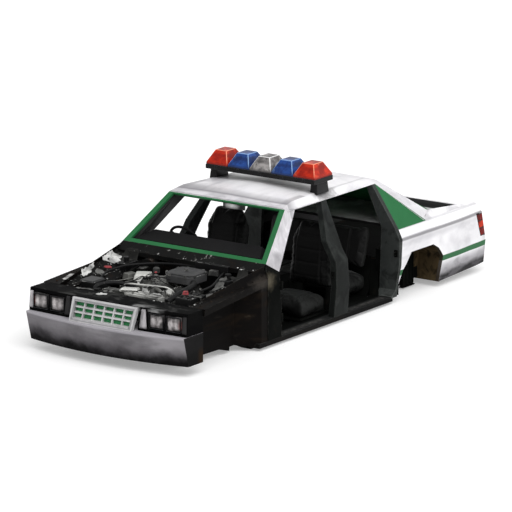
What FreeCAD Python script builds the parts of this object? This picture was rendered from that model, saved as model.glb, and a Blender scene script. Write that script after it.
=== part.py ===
import FreeCAD, Part
import math
import os
from FreeCAD import Vector

# Stripped and burnt hulk of a full-size four-door patrol car.
# All lengths are in millimetres. The car rests on its chassis rails at height 0, its nose
# points towards -Y and its left side is +X. Stations run rearwards from the bumper's nose,
# heights run up from the ground, and half widths run outwards from the middle plane.

# Overall sizes
overall_length = 5340.0
side_belly_half = 945.0
firewall_station = 1500.0
cabin_share = 0.5612
jamb_foot_station = firewall_station + (overall_length - firewall_station) * cabin_share
panel_wall = 40.0
pillar_depth = 70.0
cut_overrun = 60.0
seat_gap = 0.3
flatness = 0.01

# Side of the body, seen from the front: half widths and heights
side_foot_inset = 42.0
side_foot_half = side_belly_half - side_foot_inset
side_foot_height = 62.0
side_belly_height = 380.0
side_crease_inset = 2.0
side_crease_half = side_belly_half - side_crease_inset
side_crease_height = 634.0
side_shoulder_inset = 55.0
side_shoulder_half = side_belly_half - side_shoulder_inset
side_shoulder_height = 727.0
shoulder_rise = 8.0
side_rail_inset = 280.0
side_rail_half = side_belly_half - side_rail_inset
side_rail_height = 1176.0

# Chassis frame
rail_inset = 225.0
rail_half = side_belly_half - rail_inset
rail_width = 116.0
rail_depth = 66.0
rail_front_station = 1400.0
rail_rear_advance = 95.0
rail_rear_station = jamb_foot_station - rail_rear_advance
horn_half = 470.0
horn_width = 90.0
horn_height = 170.0
horn_depth = 110.0
horn_front_station = 140.0
horn_knee_station = 1120.0
tail_rail_inset = 400.0
tail_rail_half = side_belly_half - tail_rail_inset
tail_rail_width = 80.0
tail_rail_height = 270.0
tail_rail_depth = 100.0
tail_knee_setback = 165.0
tail_knee_station = jamb_foot_station + tail_knee_setback
tail_rear_overhang = 220.0
tail_rear_station = overall_length - tail_rear_overhang
cross_member_length = 150.0
axle_member_station = 900.0
axle_member_height = 60.0
axle_bracket_inset = 239.0
axle_bracket_half = side_belly_half - axle_bracket_inset
axle_bracket_width = 150.0
axle_bore_radius = 8.1
axle_bore_height = 84.0
axle_bracket_setback = 345.0
axle_bracket_station = jamb_foot_station + axle_bracket_setback
axle_bracket_length = 168.0
axle_bracket_height = 36.0

# Floor, sills and bulkhead
floor_height = 24.0
floor_wall = 24.0
tunnel_half = 110.0
tunnel_top_half = 80.0
tunnel_height = 250.0
sill_inner_inset = 167.0
sill_inner_half = side_belly_half - sill_inner_inset
sill_outer_inset = 42.0
sill_outer_half = side_belly_half - sill_outer_inset
sill_bottom = 28.0
sill_top = 76.0
sill_front_station = 1362.0
sill_rear_advance = 35.0
sill_rear_station = jamb_foot_station - sill_rear_advance
firewall_wall = 40.0
firewall_top = 700.0
firewall_toe_station = 1560.0

# Windscreen, its pillars and the cowl
screen_top_inset = 261.0
screen_top_half = side_belly_half - screen_top_inset
screen_top_station = 2085.0
screen_top_height = 1213.0
screen_base_inset = 102.0
screen_base_half = side_belly_half - screen_base_inset
screen_base_station = 1548.0
screen_base_height = 809.0
screen_trim_side = 58.0
screen_trim_base = 44.0
screen_trim_top = 15.0
screen_trim_wall = 22.0
pillar_foot_inset = 42.0
pillar_foot_half = side_belly_half - pillar_foot_inset
pillar_foot_station = 1683.0
pillar_foot_height = 717.0
pillar_head_station = 2283.0
hinge_post_front_station = 1500.0
hinge_post_rear_station = 1722.0
hinge_post_depth = 90.0
cowl_front_station = 1440.0
cowl_drop = 30.0
hinge_hole_radius = 5.25
hinge_spacing_up = 200.0
hinge_spacing_along = 44.0
hinge_centre_height = 230.0
hinge_hole_depth = 30.0

# Roof
roof_brow_station = 2262.0
roof_brow_height = 1272.0
roof_brow_inset = 305.0
roof_brow_half = side_belly_half - roof_brow_inset
roof_top_inset = 355.0
roof_top_half = side_belly_half - roof_top_inset
roof_crown_height = 1284.0
roof_mid_advance = 855.0
roof_mid_station = jamb_foot_station - roof_mid_advance
roof_rear_advance = 15.0
roof_rear_station = jamb_foot_station - roof_rear_advance
roof_rear_height = 1236.0
roof_rear_inset = 355.0
roof_rear_half = side_belly_half - roof_rear_inset
roof_tail_setback = 130.0
roof_tail_station = jamb_foot_station + roof_tail_setback
roof_wall = 45.0
roof_edge_step = 15.0
roof_rail_rise = 7.5

# Middle pillars between the door openings
middle_line_share = 0.5104
middle_line_station = firewall_station + (jamb_foot_station - firewall_station) * middle_line_share
middle_top_front_setback = 125.0
middle_top_front = middle_line_station + middle_top_front_setback
middle_top_rear_setback = 206.0
middle_top_rear = middle_line_station + middle_top_rear_setback
middle_belt_front_advance = 33.0
middle_belt_front = middle_line_station - middle_belt_front_advance
middle_belt_rear_setback = 166.0
middle_belt_rear = middle_line_station + middle_belt_rear_setback
middle_foot_front = middle_line_station
middle_foot_rear_setback = 240.0
middle_foot_rear = middle_line_station + middle_foot_rear_setback
middle_belt_front_height = 820.0
middle_belt_rear_height = 730.0

# Rear door jambs
jamb_top_advance = 65.0
jamb_top_station = jamb_foot_station - jamb_top_advance
jamb_belt_setback = 28.0
jamb_belt_station = jamb_foot_station + jamb_belt_setback
jamb_belt_height = 742.0
jamb_wall = 52.0
jamb_inner_inset = 225.0
jamb_inner_half = side_belly_half - jamb_inner_inset
jamb_head_inner_inset = 355.0
jamb_head_inner_half = side_belly_half - jamb_head_inner_inset
jamb_chamfer = 72.0

# Rear quarter panels
arch_front_setback = 34.0
arch_front_station = jamb_foot_station + arch_front_setback
arch_front_height = 184.0
arch_shoulder_front_setback = 92.0
arch_shoulder_front_station = jamb_foot_station + arch_shoulder_front_setback
arch_shoulder_front_height = 321.0
arch_top_front_setback = 231.0
arch_top_front_station = jamb_foot_station + arch_top_front_setback
arch_top_height = 480.0
arch_top_rear_setback = 620.0
arch_top_rear_station = jamb_foot_station + arch_top_rear_setback
arch_bend_setback = 716.0
arch_bend_station = jamb_foot_station + arch_bend_setback
arch_bend_height = 429.0
arch_rear_setback = 810.0
arch_rear_station = jamb_foot_station + arch_rear_setback
arch_rear_height = 327.0
arch_foot_setback = 778.0
arch_foot_station = jamb_foot_station + arch_foot_setback
arch_foot_height = 62.0
fin_front_setback = 525.0
fin_front_station = jamb_foot_station + fin_front_setback
fin_peak_setback = 768.0
fin_peak_station = jamb_foot_station + fin_peak_setback
fin_peak_inset = 140.0
fin_peak_half = side_belly_half - fin_peak_inset
fin_peak_height = 793.0
fin_mid_inset = 123.0
fin_mid_half = side_belly_half - fin_mid_inset
fin_mid_height = 768.0
fin_rear_overhang = 224.0
fin_rear_station = overall_length - fin_rear_overhang
fin_mid_share = 0.45
fin_mid_station = fin_peak_station + (fin_rear_station - fin_peak_station) * fin_mid_share
fin_rear_inset = 87.0
fin_rear_half = side_belly_half - fin_rear_inset
fin_rear_height = 749.0
fin_rear_crease_inset = 25.0
fin_rear_crease_half = side_belly_half - fin_rear_crease_inset
tail_lean_overhang = 142.0
tail_lean_station = overall_length - tail_lean_overhang
tail_lean_height = 632.0
tail_face_overhang = 54.0
tail_face_station = overall_length - tail_face_overhang
tail_face_height = 326.0
tail_foot_overhang = 68.0
tail_foot_station = overall_length - tail_foot_overhang
tail_foot_height = 100.0
tail_corner_inset = 40.0
tail_corner_half = side_belly_half - tail_corner_inset
c_pillar_head_rear_setback = 130.0
c_pillar_head_rear_station = jamb_foot_station + c_pillar_head_rear_setback
c_pillar_head_rear_inset = 345.0
c_pillar_head_rear_half = side_belly_half - c_pillar_head_rear_inset
c_pillar_foot_rear_setback = 845.0
c_pillar_foot_rear_station = jamb_foot_station + c_pillar_foot_rear_setback
c_pillar_foot_rear_inset = 175.0
c_pillar_foot_rear_half = side_belly_half - c_pillar_foot_rear_inset
c_pillar_wall = 46.0
c_pillar_foot_height = 736.0

# Blanked windows at the rear
blank_wall = 14.0
back_blank_top_setback = 137.0
back_blank_top_station = jamb_foot_station + back_blank_top_setback
back_blank_top_height = 1164.0
back_blank_base_setback = 843.0
back_blank_base_station = jamb_foot_station + back_blank_base_setback
back_blank_base_height = 768.0
back_blank_top_inset = 400.0
back_blank_top_half = side_belly_half - back_blank_top_inset
back_blank_base_inset = 229.0
back_blank_base_half = side_belly_half - back_blank_base_inset

# Parcel shelf, boot, wheelhouses and tail
shelf_front_setback = 65.0
shelf_front_station = jamb_foot_station + shelf_front_setback
shelf_rear_setback = 905.0
shelf_rear_station = jamb_foot_station + shelf_rear_setback
shelf_height = 765.0
shelf_wall = 26.0
shelf_inset = 119.0
shelf_half = side_belly_half - shelf_inset
boot_floor_height = 380.0
boot_floor_rear_overhang = 210.0
boot_floor_rear_station = overall_length - boot_floor_rear_overhang
boot_floor_front_setback = 185.0
boot_floor_front_station = jamb_foot_station + boot_floor_front_setback
boot_floor_wall = 8.0
wheelhouse_inner_inset = 323.0
wheelhouse_inner_half = side_belly_half - wheelhouse_inner_inset
wheelhouse_wall = 26.0
wheelhouse_hem_height = 190.0
tail_wall = 40.0
tail_top_height = 680.0
tail_top_overhang = 210.0
tail_top_station = overall_length - tail_top_overhang
tail_lamp_top_height = 622.0
tail_lamp_bottom_height = 382.0
tail_lamp_width = 78.0
tail_lamp_reach = 52.0
rear_bumper_top_height = 330.0
rear_bumper_bottom_height = 120.0
rear_bumper_inset = 85.0
rear_bumper_half = side_belly_half - rear_bumper_inset
rear_bumper_front_overhang = 140.0
rear_bumper_front_station = overall_length - rear_bumper_front_overhang

# Nose panel, lamps and grille
nose_side_rear_station = 428.0
nose_side_front_station = 191.0
nose_top_height = 614.0
nose_front_inset = 23.0
nose_front_half = side_belly_half - nose_front_inset
nose_wall = 40.0
nose_hole_front_wall = 60.0
lamp_width = 165.0
lamp_height = 145.0
lamp_depth = 70.0
lamp_bulge = 23.0
lamp_inner_inset = 367.0
lamp_inner_centre = side_belly_half - lamp_inner_inset
lamp_outer_inset = 169.0
lamp_outer_centre = side_belly_half - lamp_outer_inset
lamp_centre_height = 500.0
lamp_bezel = 16.0
grille_top_inset = 569.0
grille_half_top = side_belly_half - grille_top_inset
grille_base_inset = 583.0
grille_half_base = side_belly_half - grille_base_inset
grille_base_height = 393.0
grille_top_height = 607.0
grille_base_station = 53.0
grille_top_station = 137.0
grille_frame = 34.0
grille_bar = 13.0
grille_depth = 46.0
grille_columns = 6
grille_rows = 3
grille_mesh_wall = 12.0

# Front bumper
bumper_inset = 23.0
bumper_half = side_belly_half - bumper_inset
bumper_top_height = 394.0
bumper_bottom_height = 108.0
bumper_corner_top_station = 122.0
bumper_corner_bottom_station = 196.0
bumper_bow = 122.0
bumper_lip_depth = 64.0
bumper_wall = 70.0
bumper_side_rear_station = 428.0

# Inner wings
apron_front_station = 428.0
apron_rear_station = 1500.0
ledge_inner_front_inset = 187.0
ledge_inner_front_half = side_belly_half - ledge_inner_front_inset
ledge_inner_rear_inset = 107.0
ledge_inner_rear_half = side_belly_half - ledge_inner_rear_inset
ledge_outer_front_inset = 3.0
ledge_outer_front_half = side_belly_half - ledge_outer_front_inset
ledge_outer_rear_inset = 43.0
ledge_outer_rear_half = side_belly_half - ledge_outer_rear_inset
ledge_front_height = 614.0
ledge_inner_rear_height = 792.0
ledge_outer_rear_height = 684.0
ledge_wall = 40.0
apron_inset = 247.0
apron_half = side_belly_half - apron_inset
apron_wall = 26.0
splash_front_station = 1230.0
splash_rear_station = 1400.0
splash_inset = 47.0
splash_half = side_belly_half - splash_inset
apron_hem_front_height = 84.0
apron_hem_mid_station = 989.0
apron_hem_mid_height = 72.0
apron_tip_station = 1155.0
apron_tip_height = 25.0
apron_notch_station = 1161.0
apron_notch_height = 64.0
apron_hem_rear_height = 34.0
shelf_inner_inset = 425.0
shelf_inner_half = side_belly_half - shelf_inner_inset
shelf_sink = 95.0
bay_shelf_wall = 20.0
bay_shelf_front_station = 560.0

# Radiator and its support
radiator_station = 470.0
radiator_depth = 52.0
radiator_half = 330.0
radiator_bottom_height = 200.0
radiator_top_height = 560.0
support_inset = 405.0
support_half = side_belly_half - support_inset
support_depth = 44.0
support_top_height = 592.0
support_bottom_height = 180.0
support_bar = 52.0

# Engine and what sits in its bay
bonnet_gap = 18.0
engine_half = 190.0
engine_front_station = 690.0
engine_rear_station = 1290.0
engine_bottom_height = 110.0
engine_deck_height = 470.0
sump_bottom_height = 44.0
sump_setback = 300.0
head_reach = 120.0
head_height = 606.0
valley_half = 90.0
intake_height = 636.0
rocker_wall = 46.0
rocker_margin = 18.0
cleaner_half = 165.0
cleaner_length = 300.0
cleaner_offset = 200.0
cleaner_station = 1155.0
cleaner_height = 84.0
cleaner_corner = 46.0
cleaner_lid_rise = 12.0
distributor_radius = 52.0
distributor_half = 60.0
distributor_station = 880.0
gearbox_half = 84.0
gearbox_height = 230.0
gearbox_bottom_height = 40.0
gearbox_length = 760.0
pulley_radius = 88.0
pulley_width = 50.0
pulley_height = 242.0
shroud_half = 330.0
shroud_rear_station = 632.0
shroud_bottom_height = 240.0
shroud_top_height = 606.0
shroud_pad_length = 84.0
shroud_pad_width = 128.0
shroud_pad_height = 16.0
shroud_pad_pitch = 158.0
shroud_pad_offset = 96.0
battery_inset = 385.0
battery_half = side_belly_half - battery_inset
battery_station = 600.0
battery_width = 176.0
battery_length = 260.0
battery_shelf_height = 400.0
tray_wall = 22.0
fuse_box_width = 150.0
fuse_box_length = 210.0
fuse_box_shelf_height = 480.0
servo_height = 600.0
servo_radius = 112.0
servo_length = 120.0
master_half = 38.0
master_length = 120.0
bottle_inset = 345.0
bottle_half = side_belly_half - bottle_inset
bottle_station = 1180.0
bottle_width = 130.0
bottle_length = 190.0
bottle_shelf_height = 460.0
bottle_neck_radius = 26.0
heater_inner_half = 120.0
heater_width = 380.0
heater_length = 96.0
heater_bottom_height = 450.0

# Dashboard and steering
dash_inset = 133.0
dash_half = side_belly_half - dash_inset
dash_top_inset = 315.0
dash_top_half = side_belly_half - dash_top_inset
dash_shoulder_height = 790.0
dash_front_station = 1600.0
dash_rear_station = 1790.0
dash_top_front_height = 838.0
dash_top_rear_height = 900.0
dash_bottom_height = 560.0
dash_face_lean = 40.0
driver_inset = 515.0
driver_half = driver_inset - side_belly_half
binnacle_half = 190.0
binnacle_reach = 70.0
binnacle_bottom_height = 700.0
binnacle_top_height = 876.0
column_lean_degrees = 27.0
wheel_centre_station = 2004.0
wheel_centre_height = 770.0
wheel_radius = 185.0
wheel_rim_radius = 14.0
wheel_hub_radius = 44.0
wheel_hub_length = 40.0
wheel_spoke_width = 46.0
wheel_spoke_wall = 12.0
wheel_spoke_count = 3
wheel_dish = 34.0
column_radius = 40.0
column_length = 250.0
column_clearance = 8.0
column_shaft_radius = 11.0
shaft_clearance = 0.1
shaft_engagement = 24.0
mirror_width = 250.0
mirror_height = 62.0
mirror_wall = 22.0
mirror_station = 2200.0
mirror_drop = 150.0
mirror_stem_radius = 9.0
mirror_stem_length = 86.0

# Seats
seat_outer_inset = 175.0
seat_inner_half = 250.0
seat_outer_half = side_belly_half - seat_outer_inset
seat_centre_half = (seat_outer_half + seat_inner_half) / 2
seat_width = seat_outer_half - seat_inner_half
cushion_front_advance = 1405.0
cushion_front_station = jamb_foot_station - cushion_front_advance
cushion_rear_advance = 955.0
cushion_rear_station = jamb_foot_station - cushion_rear_advance
cushion_top_height = 310.0
cushion_bottom_height = 72.0
back_front_advance = 983.0
back_front_station = jamb_foot_station - back_front_advance
back_wall = 210.0
back_head_setback = 70.0
back_lean = 70.0
back_shoulder_height = 780.0
back_head_height = 968.0
back_head_width = 330.0
seat_rail_height = 48.0
rear_seat_inset = 335.0
rear_seat_half = side_belly_half - rear_seat_inset
rear_cushion_front_advance = 455.0
rear_cushion_front_station = jamb_foot_station - rear_cushion_front_advance
rear_cushion_rear_advance = 15.0
rear_cushion_rear_station = jamb_foot_station - rear_cushion_rear_advance
rear_cushion_top_height = 300.0
rear_cushion_bottom_height = 64.0
rear_back_wall = 130.0
rear_back_top_setback = 111.0
rear_back_top_station = jamb_foot_station + rear_back_top_setback

# Light bar
bar_inset = 299.0
bar_half = side_belly_half - bar_inset
bar_front_advance = 1023.0
bar_front_station = jamb_foot_station - bar_front_advance
bar_rear_advance = 705.0
bar_rear_station = jamb_foot_station - bar_rear_advance
bar_bottom_height = 1346.0
bar_top_height = 1390.0
bar_foot_inset = 350.0
bar_foot_half = side_belly_half - bar_foot_inset
bar_foot_width = 70.0
bar_foot_front_advance = 955.0
bar_foot_front_station = jamb_foot_station - bar_foot_front_advance
bar_foot_rear_advance = 775.0
bar_foot_rear_station = jamb_foot_station - bar_foot_rear_advance
bar_foot_flare = 10.0
beacon_count = 5
beacon_gap = 6.0
beacon_height = 140.0
beacon_top_share = 0.52
beacon_skirt = 22.0


def side_prism(outline, x_from, x_to):
    """A side-view outline of (station, height) points, pulled across the car."""
    points = [Vector(x_from, station, height) for station, height in outline]
    return Part.Face(Part.makePolygon(points + points[:1])).extrude(Vector(x_to - x_from, 0, 0))


def front_prism(outline, y_from, y_to):
    """A front-view outline of (half width, height) points, pulled along the car."""
    points = [Vector(half, y_from, height) for half, height in outline]
    return Part.Face(Part.makePolygon(points + points[:1])).extrude(Vector(0, y_to - y_from, 0))


def block(x_from, x_to, y_from, y_to, z_from, z_to):
    """A plain box between two corners."""
    return Part.makeBox(x_to - x_from, y_to - y_from, z_to - z_from, Vector(x_from, y_from, z_from))


def facets(corners):
    """One flat face through corners, or a fan of triangles where they don't lie in one plane."""
    normal = (corners[1] - corners[0]).cross(corners[2] - corners[0])
    flat = all(abs((point - corners[0]).dot(normal)) <= flatness * normal.Length for point in corners)
    if flat:
        return [Part.Face(Part.makePolygon(corners + corners[:1]))]
    return [
        Part.Face(Part.makePolygon([corners[0], corners[i], corners[i + 1], corners[0]]))
        for i in range(1, len(corners) - 1)
    ]


def loft(sections):
    """A straight-sided solid through closed outlines that have equally many corners."""
    rings = [[Vector(*point) for point in section] for section in sections]
    faces = facets(rings[0]) + facets(rings[-1])
    for near, far in zip(rings, rings[1:]):
        for i in range(len(near)):
            j = (i + 1) % len(near)
            faces.extend(facets([near[i], near[j], far[j], far[i]]))
    solid = Part.Solid(Part.makeShell(faces))
    if solid.Volume < 0:
        solid.reverse()
    return solid


def flat_panel(corners, wall):
    """A flat panel: corners in space, thickened by its wall along the corners' own normal."""
    points = [Vector(*corner) for corner in corners]
    normal = (points[1] - points[0]).cross(points[2] - points[0])
    normal.normalize()
    return Part.Face(Part.makePolygon(points + points[:1])).extrude(normal * wall)


def mirrored(shape):
    """The same piece on the car's other side."""
    return shape.mirror(Vector(0, 0, 0), Vector(1, 0, 0))


def pair(shape):
    """A left piece and its right twin, which don't touch."""
    return Part.makeCompound([shape, mirrored(shape)])


def joined(shapes):
    """Several solids welded into one."""
    return shapes[0].fuse(shapes[1:]).removeSplitter()


def cylinder_between(start, end, radius):
    """A round bar from one point to another."""
    axis = end - start
    return Part.makeCylinder(radius, axis.Length, start, axis)


def side_profile(depth):
    """Front view of the body's side wall, from sill to roof rail, as deep as asked."""
    outer = [
        (side_foot_half, side_foot_height),
        (side_belly_half, side_belly_height),
        (side_crease_half, side_crease_height),
        (side_shoulder_half, side_shoulder_height),
        (side_rail_half, side_rail_height),
    ]
    inner = [(half - depth, height) for half, height in reversed(outer)]
    return outer + inner


def screen_point(across_share, up_share):
    """A point on the windscreen's plane, from its left base corner to its right top corner."""
    half = screen_base_half + (screen_top_half - screen_base_half) * up_share
    station = screen_base_station + (screen_top_station - screen_base_station) * up_share
    height = screen_base_height + (screen_top_height - screen_base_height) * up_share
    return (half * across_share, station, height)


def rail_ring(half, width, station, height, depth):
    """Upright rectangular section of a frame rail at a station."""
    inner = half - width / 2
    outer = half + width / 2
    return [
        (inner, station, height), (outer, station, height),
        (outer, station, height + depth), (inner, station, height + depth),
    ]


def make_frame_rails():
    """Side rails of the perimeter frame, with the kick-ups at both ends."""
    front = rail_ring(rail_half, rail_width, rail_front_station, 0, rail_depth)
    rear = rail_ring(rail_half, rail_width, rail_rear_station, 0, rail_depth)
    horn = rail_ring(horn_half, horn_width, horn_knee_station, horn_height, horn_depth)
    tail = rail_ring(tail_rail_half, tail_rail_width, tail_knee_station, tail_rail_height, tail_rail_depth)
    rail = joined([loft([horn, front]), loft([front, rear]), loft([rear, tail])])
    return pair(rail)


def make_front_subframe():
    """Front horns with the cross member that the engine sits on."""
    inner = horn_half - horn_width / 2
    outer = horn_half + horn_width / 2
    horn = block(inner, outer, horn_front_station, horn_knee_station, horn_height, horn_height + horn_depth)
    rear = axle_member_station + cross_member_length
    member = block(
        -inner, inner, axle_member_station, rear, axle_member_height, horn_height + horn_depth / 2,
    )
    foot = block(inner, outer, axle_member_station, rear, axle_member_height, horn_height)
    return joined([horn, mirrored(horn), member, foot, mirrored(foot)])


def make_rear_subframe():
    """Rear rails with their cross member and the brackets of the axle's trailing arms."""
    inner = tail_rail_half - tail_rail_width / 2
    outer = tail_rail_half + tail_rail_width / 2
    top = tail_rail_height + tail_rail_depth
    rail = block(inner, outer, tail_knee_station, tail_rear_station, tail_rail_height, top)
    member = block(
        -inner, inner, tail_rear_station - cross_member_length / 2, tail_rear_station,
        tail_rail_height, top,
    )
    bracket = block(
        axle_bracket_half - axle_bracket_width, wheelhouse_inner_half - seat_gap,
        axle_bracket_station, axle_bracket_station + axle_bracket_length,
        axle_bracket_height, tail_rail_height,
    )
    frame = joined([rail, mirrored(rail), member, bracket, mirrored(bracket)])
    bore_half = axle_bracket_half + cut_overrun
    bore = Part.makeCylinder(
        axle_bore_radius, bore_half * 2,
        Vector(-bore_half, axle_bracket_station + axle_bracket_length / 2, axle_bore_height),
        Vector(1, 0, 0),
    )
    return frame.cut(bore)


def make_chassis_frame():
    """The whole perimeter frame, as room for what is fitted around it."""
    return Part.makeCompound([make_frame_rails(), make_front_subframe(), make_rear_subframe()])


def make_floor_pan():
    """Cabin floor between the rails, with the gearbox tunnel."""
    edge = rail_half - rail_width / 2 - seat_gap
    top = floor_height + floor_wall
    section = [
        (-edge, floor_height), (-tunnel_half, floor_height),
        (-tunnel_top_half, tunnel_height - floor_wall), (tunnel_top_half, tunnel_height - floor_wall),
        (tunnel_half, floor_height), (edge, floor_height),
        (edge, top), (tunnel_half + floor_wall, top),
        (tunnel_top_half + floor_wall, tunnel_height), (-tunnel_top_half - floor_wall, tunnel_height),
        (-tunnel_half - floor_wall, top), (-edge, top),
    ]
    return front_prism(section, firewall_toe_station, rail_rear_station)


def make_heel_board():
    """Rising board under the rear seat, from the floor pan up to the boot floor."""
    edge = wheelhouse_inner_half - seat_gap
    outline = [
        (rail_rear_station, floor_height),
        (rail_rear_station + floor_wall, floor_height),
        (boot_floor_front_station + floor_wall, boot_floor_height - floor_wall),
        (boot_floor_front_station + floor_wall, boot_floor_height),
        (boot_floor_front_station, boot_floor_height),
        (rail_rear_station, floor_height + floor_wall),
    ]
    return side_prism(outline, -edge, edge).cut(make_chassis_frame())


def make_sills():
    """Sills below the door openings, outside the rails."""
    sill = block(
        sill_inner_half + seat_gap, sill_outer_half, sill_front_station, sill_rear_station,
        sill_bottom, sill_top,
    )
    return pair(sill)


def make_firewall():
    """Upright bulkhead between the engine bay and the cabin, with its sloping toe board."""
    half = side_foot_half - hinge_post_depth - seat_gap
    outline = [
        (firewall_station, firewall_top), (firewall_station, tunnel_height),
        (firewall_toe_station, floor_height),
        (firewall_toe_station + firewall_wall, floor_height + floor_wall),
        (firewall_station + firewall_wall, tunnel_height),
        (firewall_station + firewall_wall, firewall_top),
    ]
    wall = side_prism(outline, -half, half)
    tunnel_mouth = front_prism(
        [
            (-tunnel_half, 0), (tunnel_half, 0),
            (tunnel_top_half, tunnel_height - floor_wall), (-tunnel_top_half, tunnel_height - floor_wall),
        ],
        firewall_station - cut_overrun, firewall_toe_station + cut_overrun,
    )
    wall = wall.cut(tunnel_mouth).cut(make_floor_pan())
    return wall.cut(make_chassis_frame()).cut(make_sills())


def make_cowl():
    """Scuttle below the windscreen, down to the bulkhead, out to the pillars' feet."""
    top_front = screen_base_height - cowl_drop
    outline = [
        (cowl_front_station, top_front - cowl_drop),
        (screen_base_station, screen_base_height - seat_gap),
        (screen_base_station + panel_wall, screen_base_height - seat_gap - cowl_drop),
        (firewall_station + firewall_wall, firewall_top + seat_gap),
        (firewall_station, firewall_top + seat_gap),
        (cowl_front_station, top_front - cowl_drop - panel_wall),
    ]
    cowl = side_prism(outline, -screen_base_half, screen_base_half)
    return cowl.cut(make_hinge_posts()).cut(make_a_pillars()).cut(make_windscreen_trim())


def make_a_pillars():
    """Front roof pillars, each standing on the hinge post of its front door."""
    base = screen_point(1, 0)
    top = screen_point(1, 1)
    leaning = loft([
        [
            base,
            (pillar_foot_half, pillar_foot_station, pillar_foot_height),
            (pillar_foot_half - pillar_depth, pillar_foot_station, pillar_foot_height - pillar_depth),
            (base[0] - pillar_depth / 2, base[1] + pillar_depth, base[2] - pillar_depth),
        ],
        [
            top,
            (side_rail_half, pillar_head_station, side_rail_height),
            (side_rail_half - pillar_depth, pillar_head_station, side_rail_height),
            (top[0] - pillar_depth / 2, top[1] + pillar_depth, top[2] - pillar_depth / 2),
        ],
    ])
    return pair(leaning)


def make_hinge_posts():
    """Hinge posts ahead of the front doors, up to the pillars' feet, with the hinges' bolt holes."""
    outline = [
        (hinge_post_front_station, sill_top),
        (hinge_post_rear_station, sill_top),
        (hinge_post_rear_station, side_belly_height),
        (pillar_foot_station, pillar_foot_height),
        (screen_base_station, screen_base_height),
        (hinge_post_front_station, screen_base_height - cowl_drop * 2),
    ]
    band = side_prism(outline, 0, side_belly_half + cut_overrun)
    outer = [
        (side_foot_half, side_foot_height), (pillar_foot_half, side_belly_height),
        (pillar_foot_half, pillar_foot_height), (screen_base_half, screen_base_height),
    ]
    inner = [(half - hinge_post_depth, height) for half, height in reversed(outer)]
    post = front_prism(outer + inner, hinge_post_front_station, hinge_post_rear_station).common(band)
    for across in (-1, 1):
        for up in (-1, 1):
            hole = Part.makeCylinder(
                hinge_hole_radius, hinge_hole_depth + cut_overrun,
                Vector(
                    pillar_foot_half - hinge_post_depth / 2 + across * hinge_spacing_along / 2,
                    hinge_post_rear_station - hinge_hole_depth,
                    hinge_centre_height + up * hinge_spacing_up / 2,
                ),
                Vector(0, 1, 0),
            )
            post = post.cut(hole)
    return pair(post).cut(make_a_pillars()).cut(make_windscreen_trim())


def make_windscreen_trim():
    """Painted surround of the empty windscreen opening, inside the pillars and the roof's brow."""
    outer = [screen_point(-1, 0), screen_point(1, 0), screen_point(1, 1), screen_point(-1, 1)]
    slope = math.hypot(screen_top_station - screen_base_station, screen_top_height - screen_base_height)
    low = screen_trim_base / slope
    high = 1 - screen_trim_top / slope
    base_side = screen_point(1, low)[0] - screen_trim_side
    top_side = screen_point(1, high)[0] - screen_trim_side
    low_point = screen_point(0, low)
    high_point = screen_point(0, high)
    inner = [
        (-base_side, low_point[1], low_point[2]), (base_side, low_point[1], low_point[2]),
        (top_side, high_point[1], high_point[2]), (-top_side, high_point[1], high_point[2]),
    ]
    plate = flat_panel(outer, -screen_trim_wall)
    hole = flat_panel(inner, -screen_trim_wall)
    return plate.cut(hole).cut(make_a_pillars())


def make_roof():
    """Roof skin from the brow to the back window, crowned along its middle."""
    def section(station, rail_half_width, rail_height, edge_half, edge_height, crown_height):
        return [
            (-rail_half_width, station, rail_height), (-edge_half, station, edge_height),
            (0, station, crown_height), (edge_half, station, edge_height),
            (rail_half_width, station, rail_height),
        ]
    outer = loft([
        section(
            screen_top_station, screen_top_half, screen_top_height,
            screen_top_half - roof_wall / 2, screen_top_height + roof_edge_step,
            screen_top_height + roof_edge_step,
        ),
        section(
            roof_brow_station, side_rail_half, side_rail_height, roof_brow_half,
            roof_brow_height - roof_edge_step, roof_brow_height,
        ),
        section(
            roof_mid_station, side_rail_half, side_rail_height, roof_top_half,
            roof_brow_height - roof_wall / 2, roof_crown_height,
        ),
        section(
            roof_rear_station, side_rail_half, side_rail_height, roof_rear_half,
            roof_rear_height - roof_wall / 2, roof_rear_height,
        ),
        section(
            roof_tail_station, c_pillar_head_rear_half, side_rail_height, c_pillar_head_rear_half - roof_wall,
            side_rail_height + roof_rail_rise, side_rail_height + roof_rail_rise,
        ),
    ])
    inner = loft([
        section(
            screen_top_station + roof_wall, screen_top_half - roof_wall * 2, side_rail_height - cut_overrun,
            screen_top_half - roof_wall * 2, screen_top_height - roof_wall, screen_top_height - roof_wall,
        ),
        section(
            roof_brow_station, side_rail_half - roof_wall, side_rail_height - cut_overrun,
            roof_brow_half - roof_wall, roof_brow_height - roof_wall - roof_edge_step,
            roof_brow_height - roof_wall,
        ),
        section(
            roof_mid_station, side_rail_half - roof_wall, side_rail_height - cut_overrun,
            roof_top_half - roof_wall / 2, roof_brow_height - roof_wall - roof_edge_step,
            roof_crown_height - roof_wall,
        ),
        section(
            roof_rear_station - roof_wall, side_rail_half - roof_wall, side_rail_height - cut_overrun,
            roof_rear_half - roof_wall / 2, roof_rear_height - roof_wall * 1.4, roof_rear_height - roof_wall,
        ),
    ])
    return outer.cut(inner).cut(make_a_pillars())


def make_b_pillars():
    """Middle pillars, kinked at the belt line."""
    outline = [
        (middle_foot_front, sill_top), (middle_foot_rear, sill_top),
        (middle_belt_rear, middle_belt_rear_height), (middle_top_rear, side_rail_height),
        (middle_top_front, side_rail_height), (middle_belt_front, middle_belt_front_height),
    ]
    band = side_prism(outline, 0, side_belly_half + cut_overrun)
    pillar = front_prism(side_profile(pillar_depth), middle_belt_front, middle_foot_rear)
    return pair(pillar.common(band))


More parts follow.
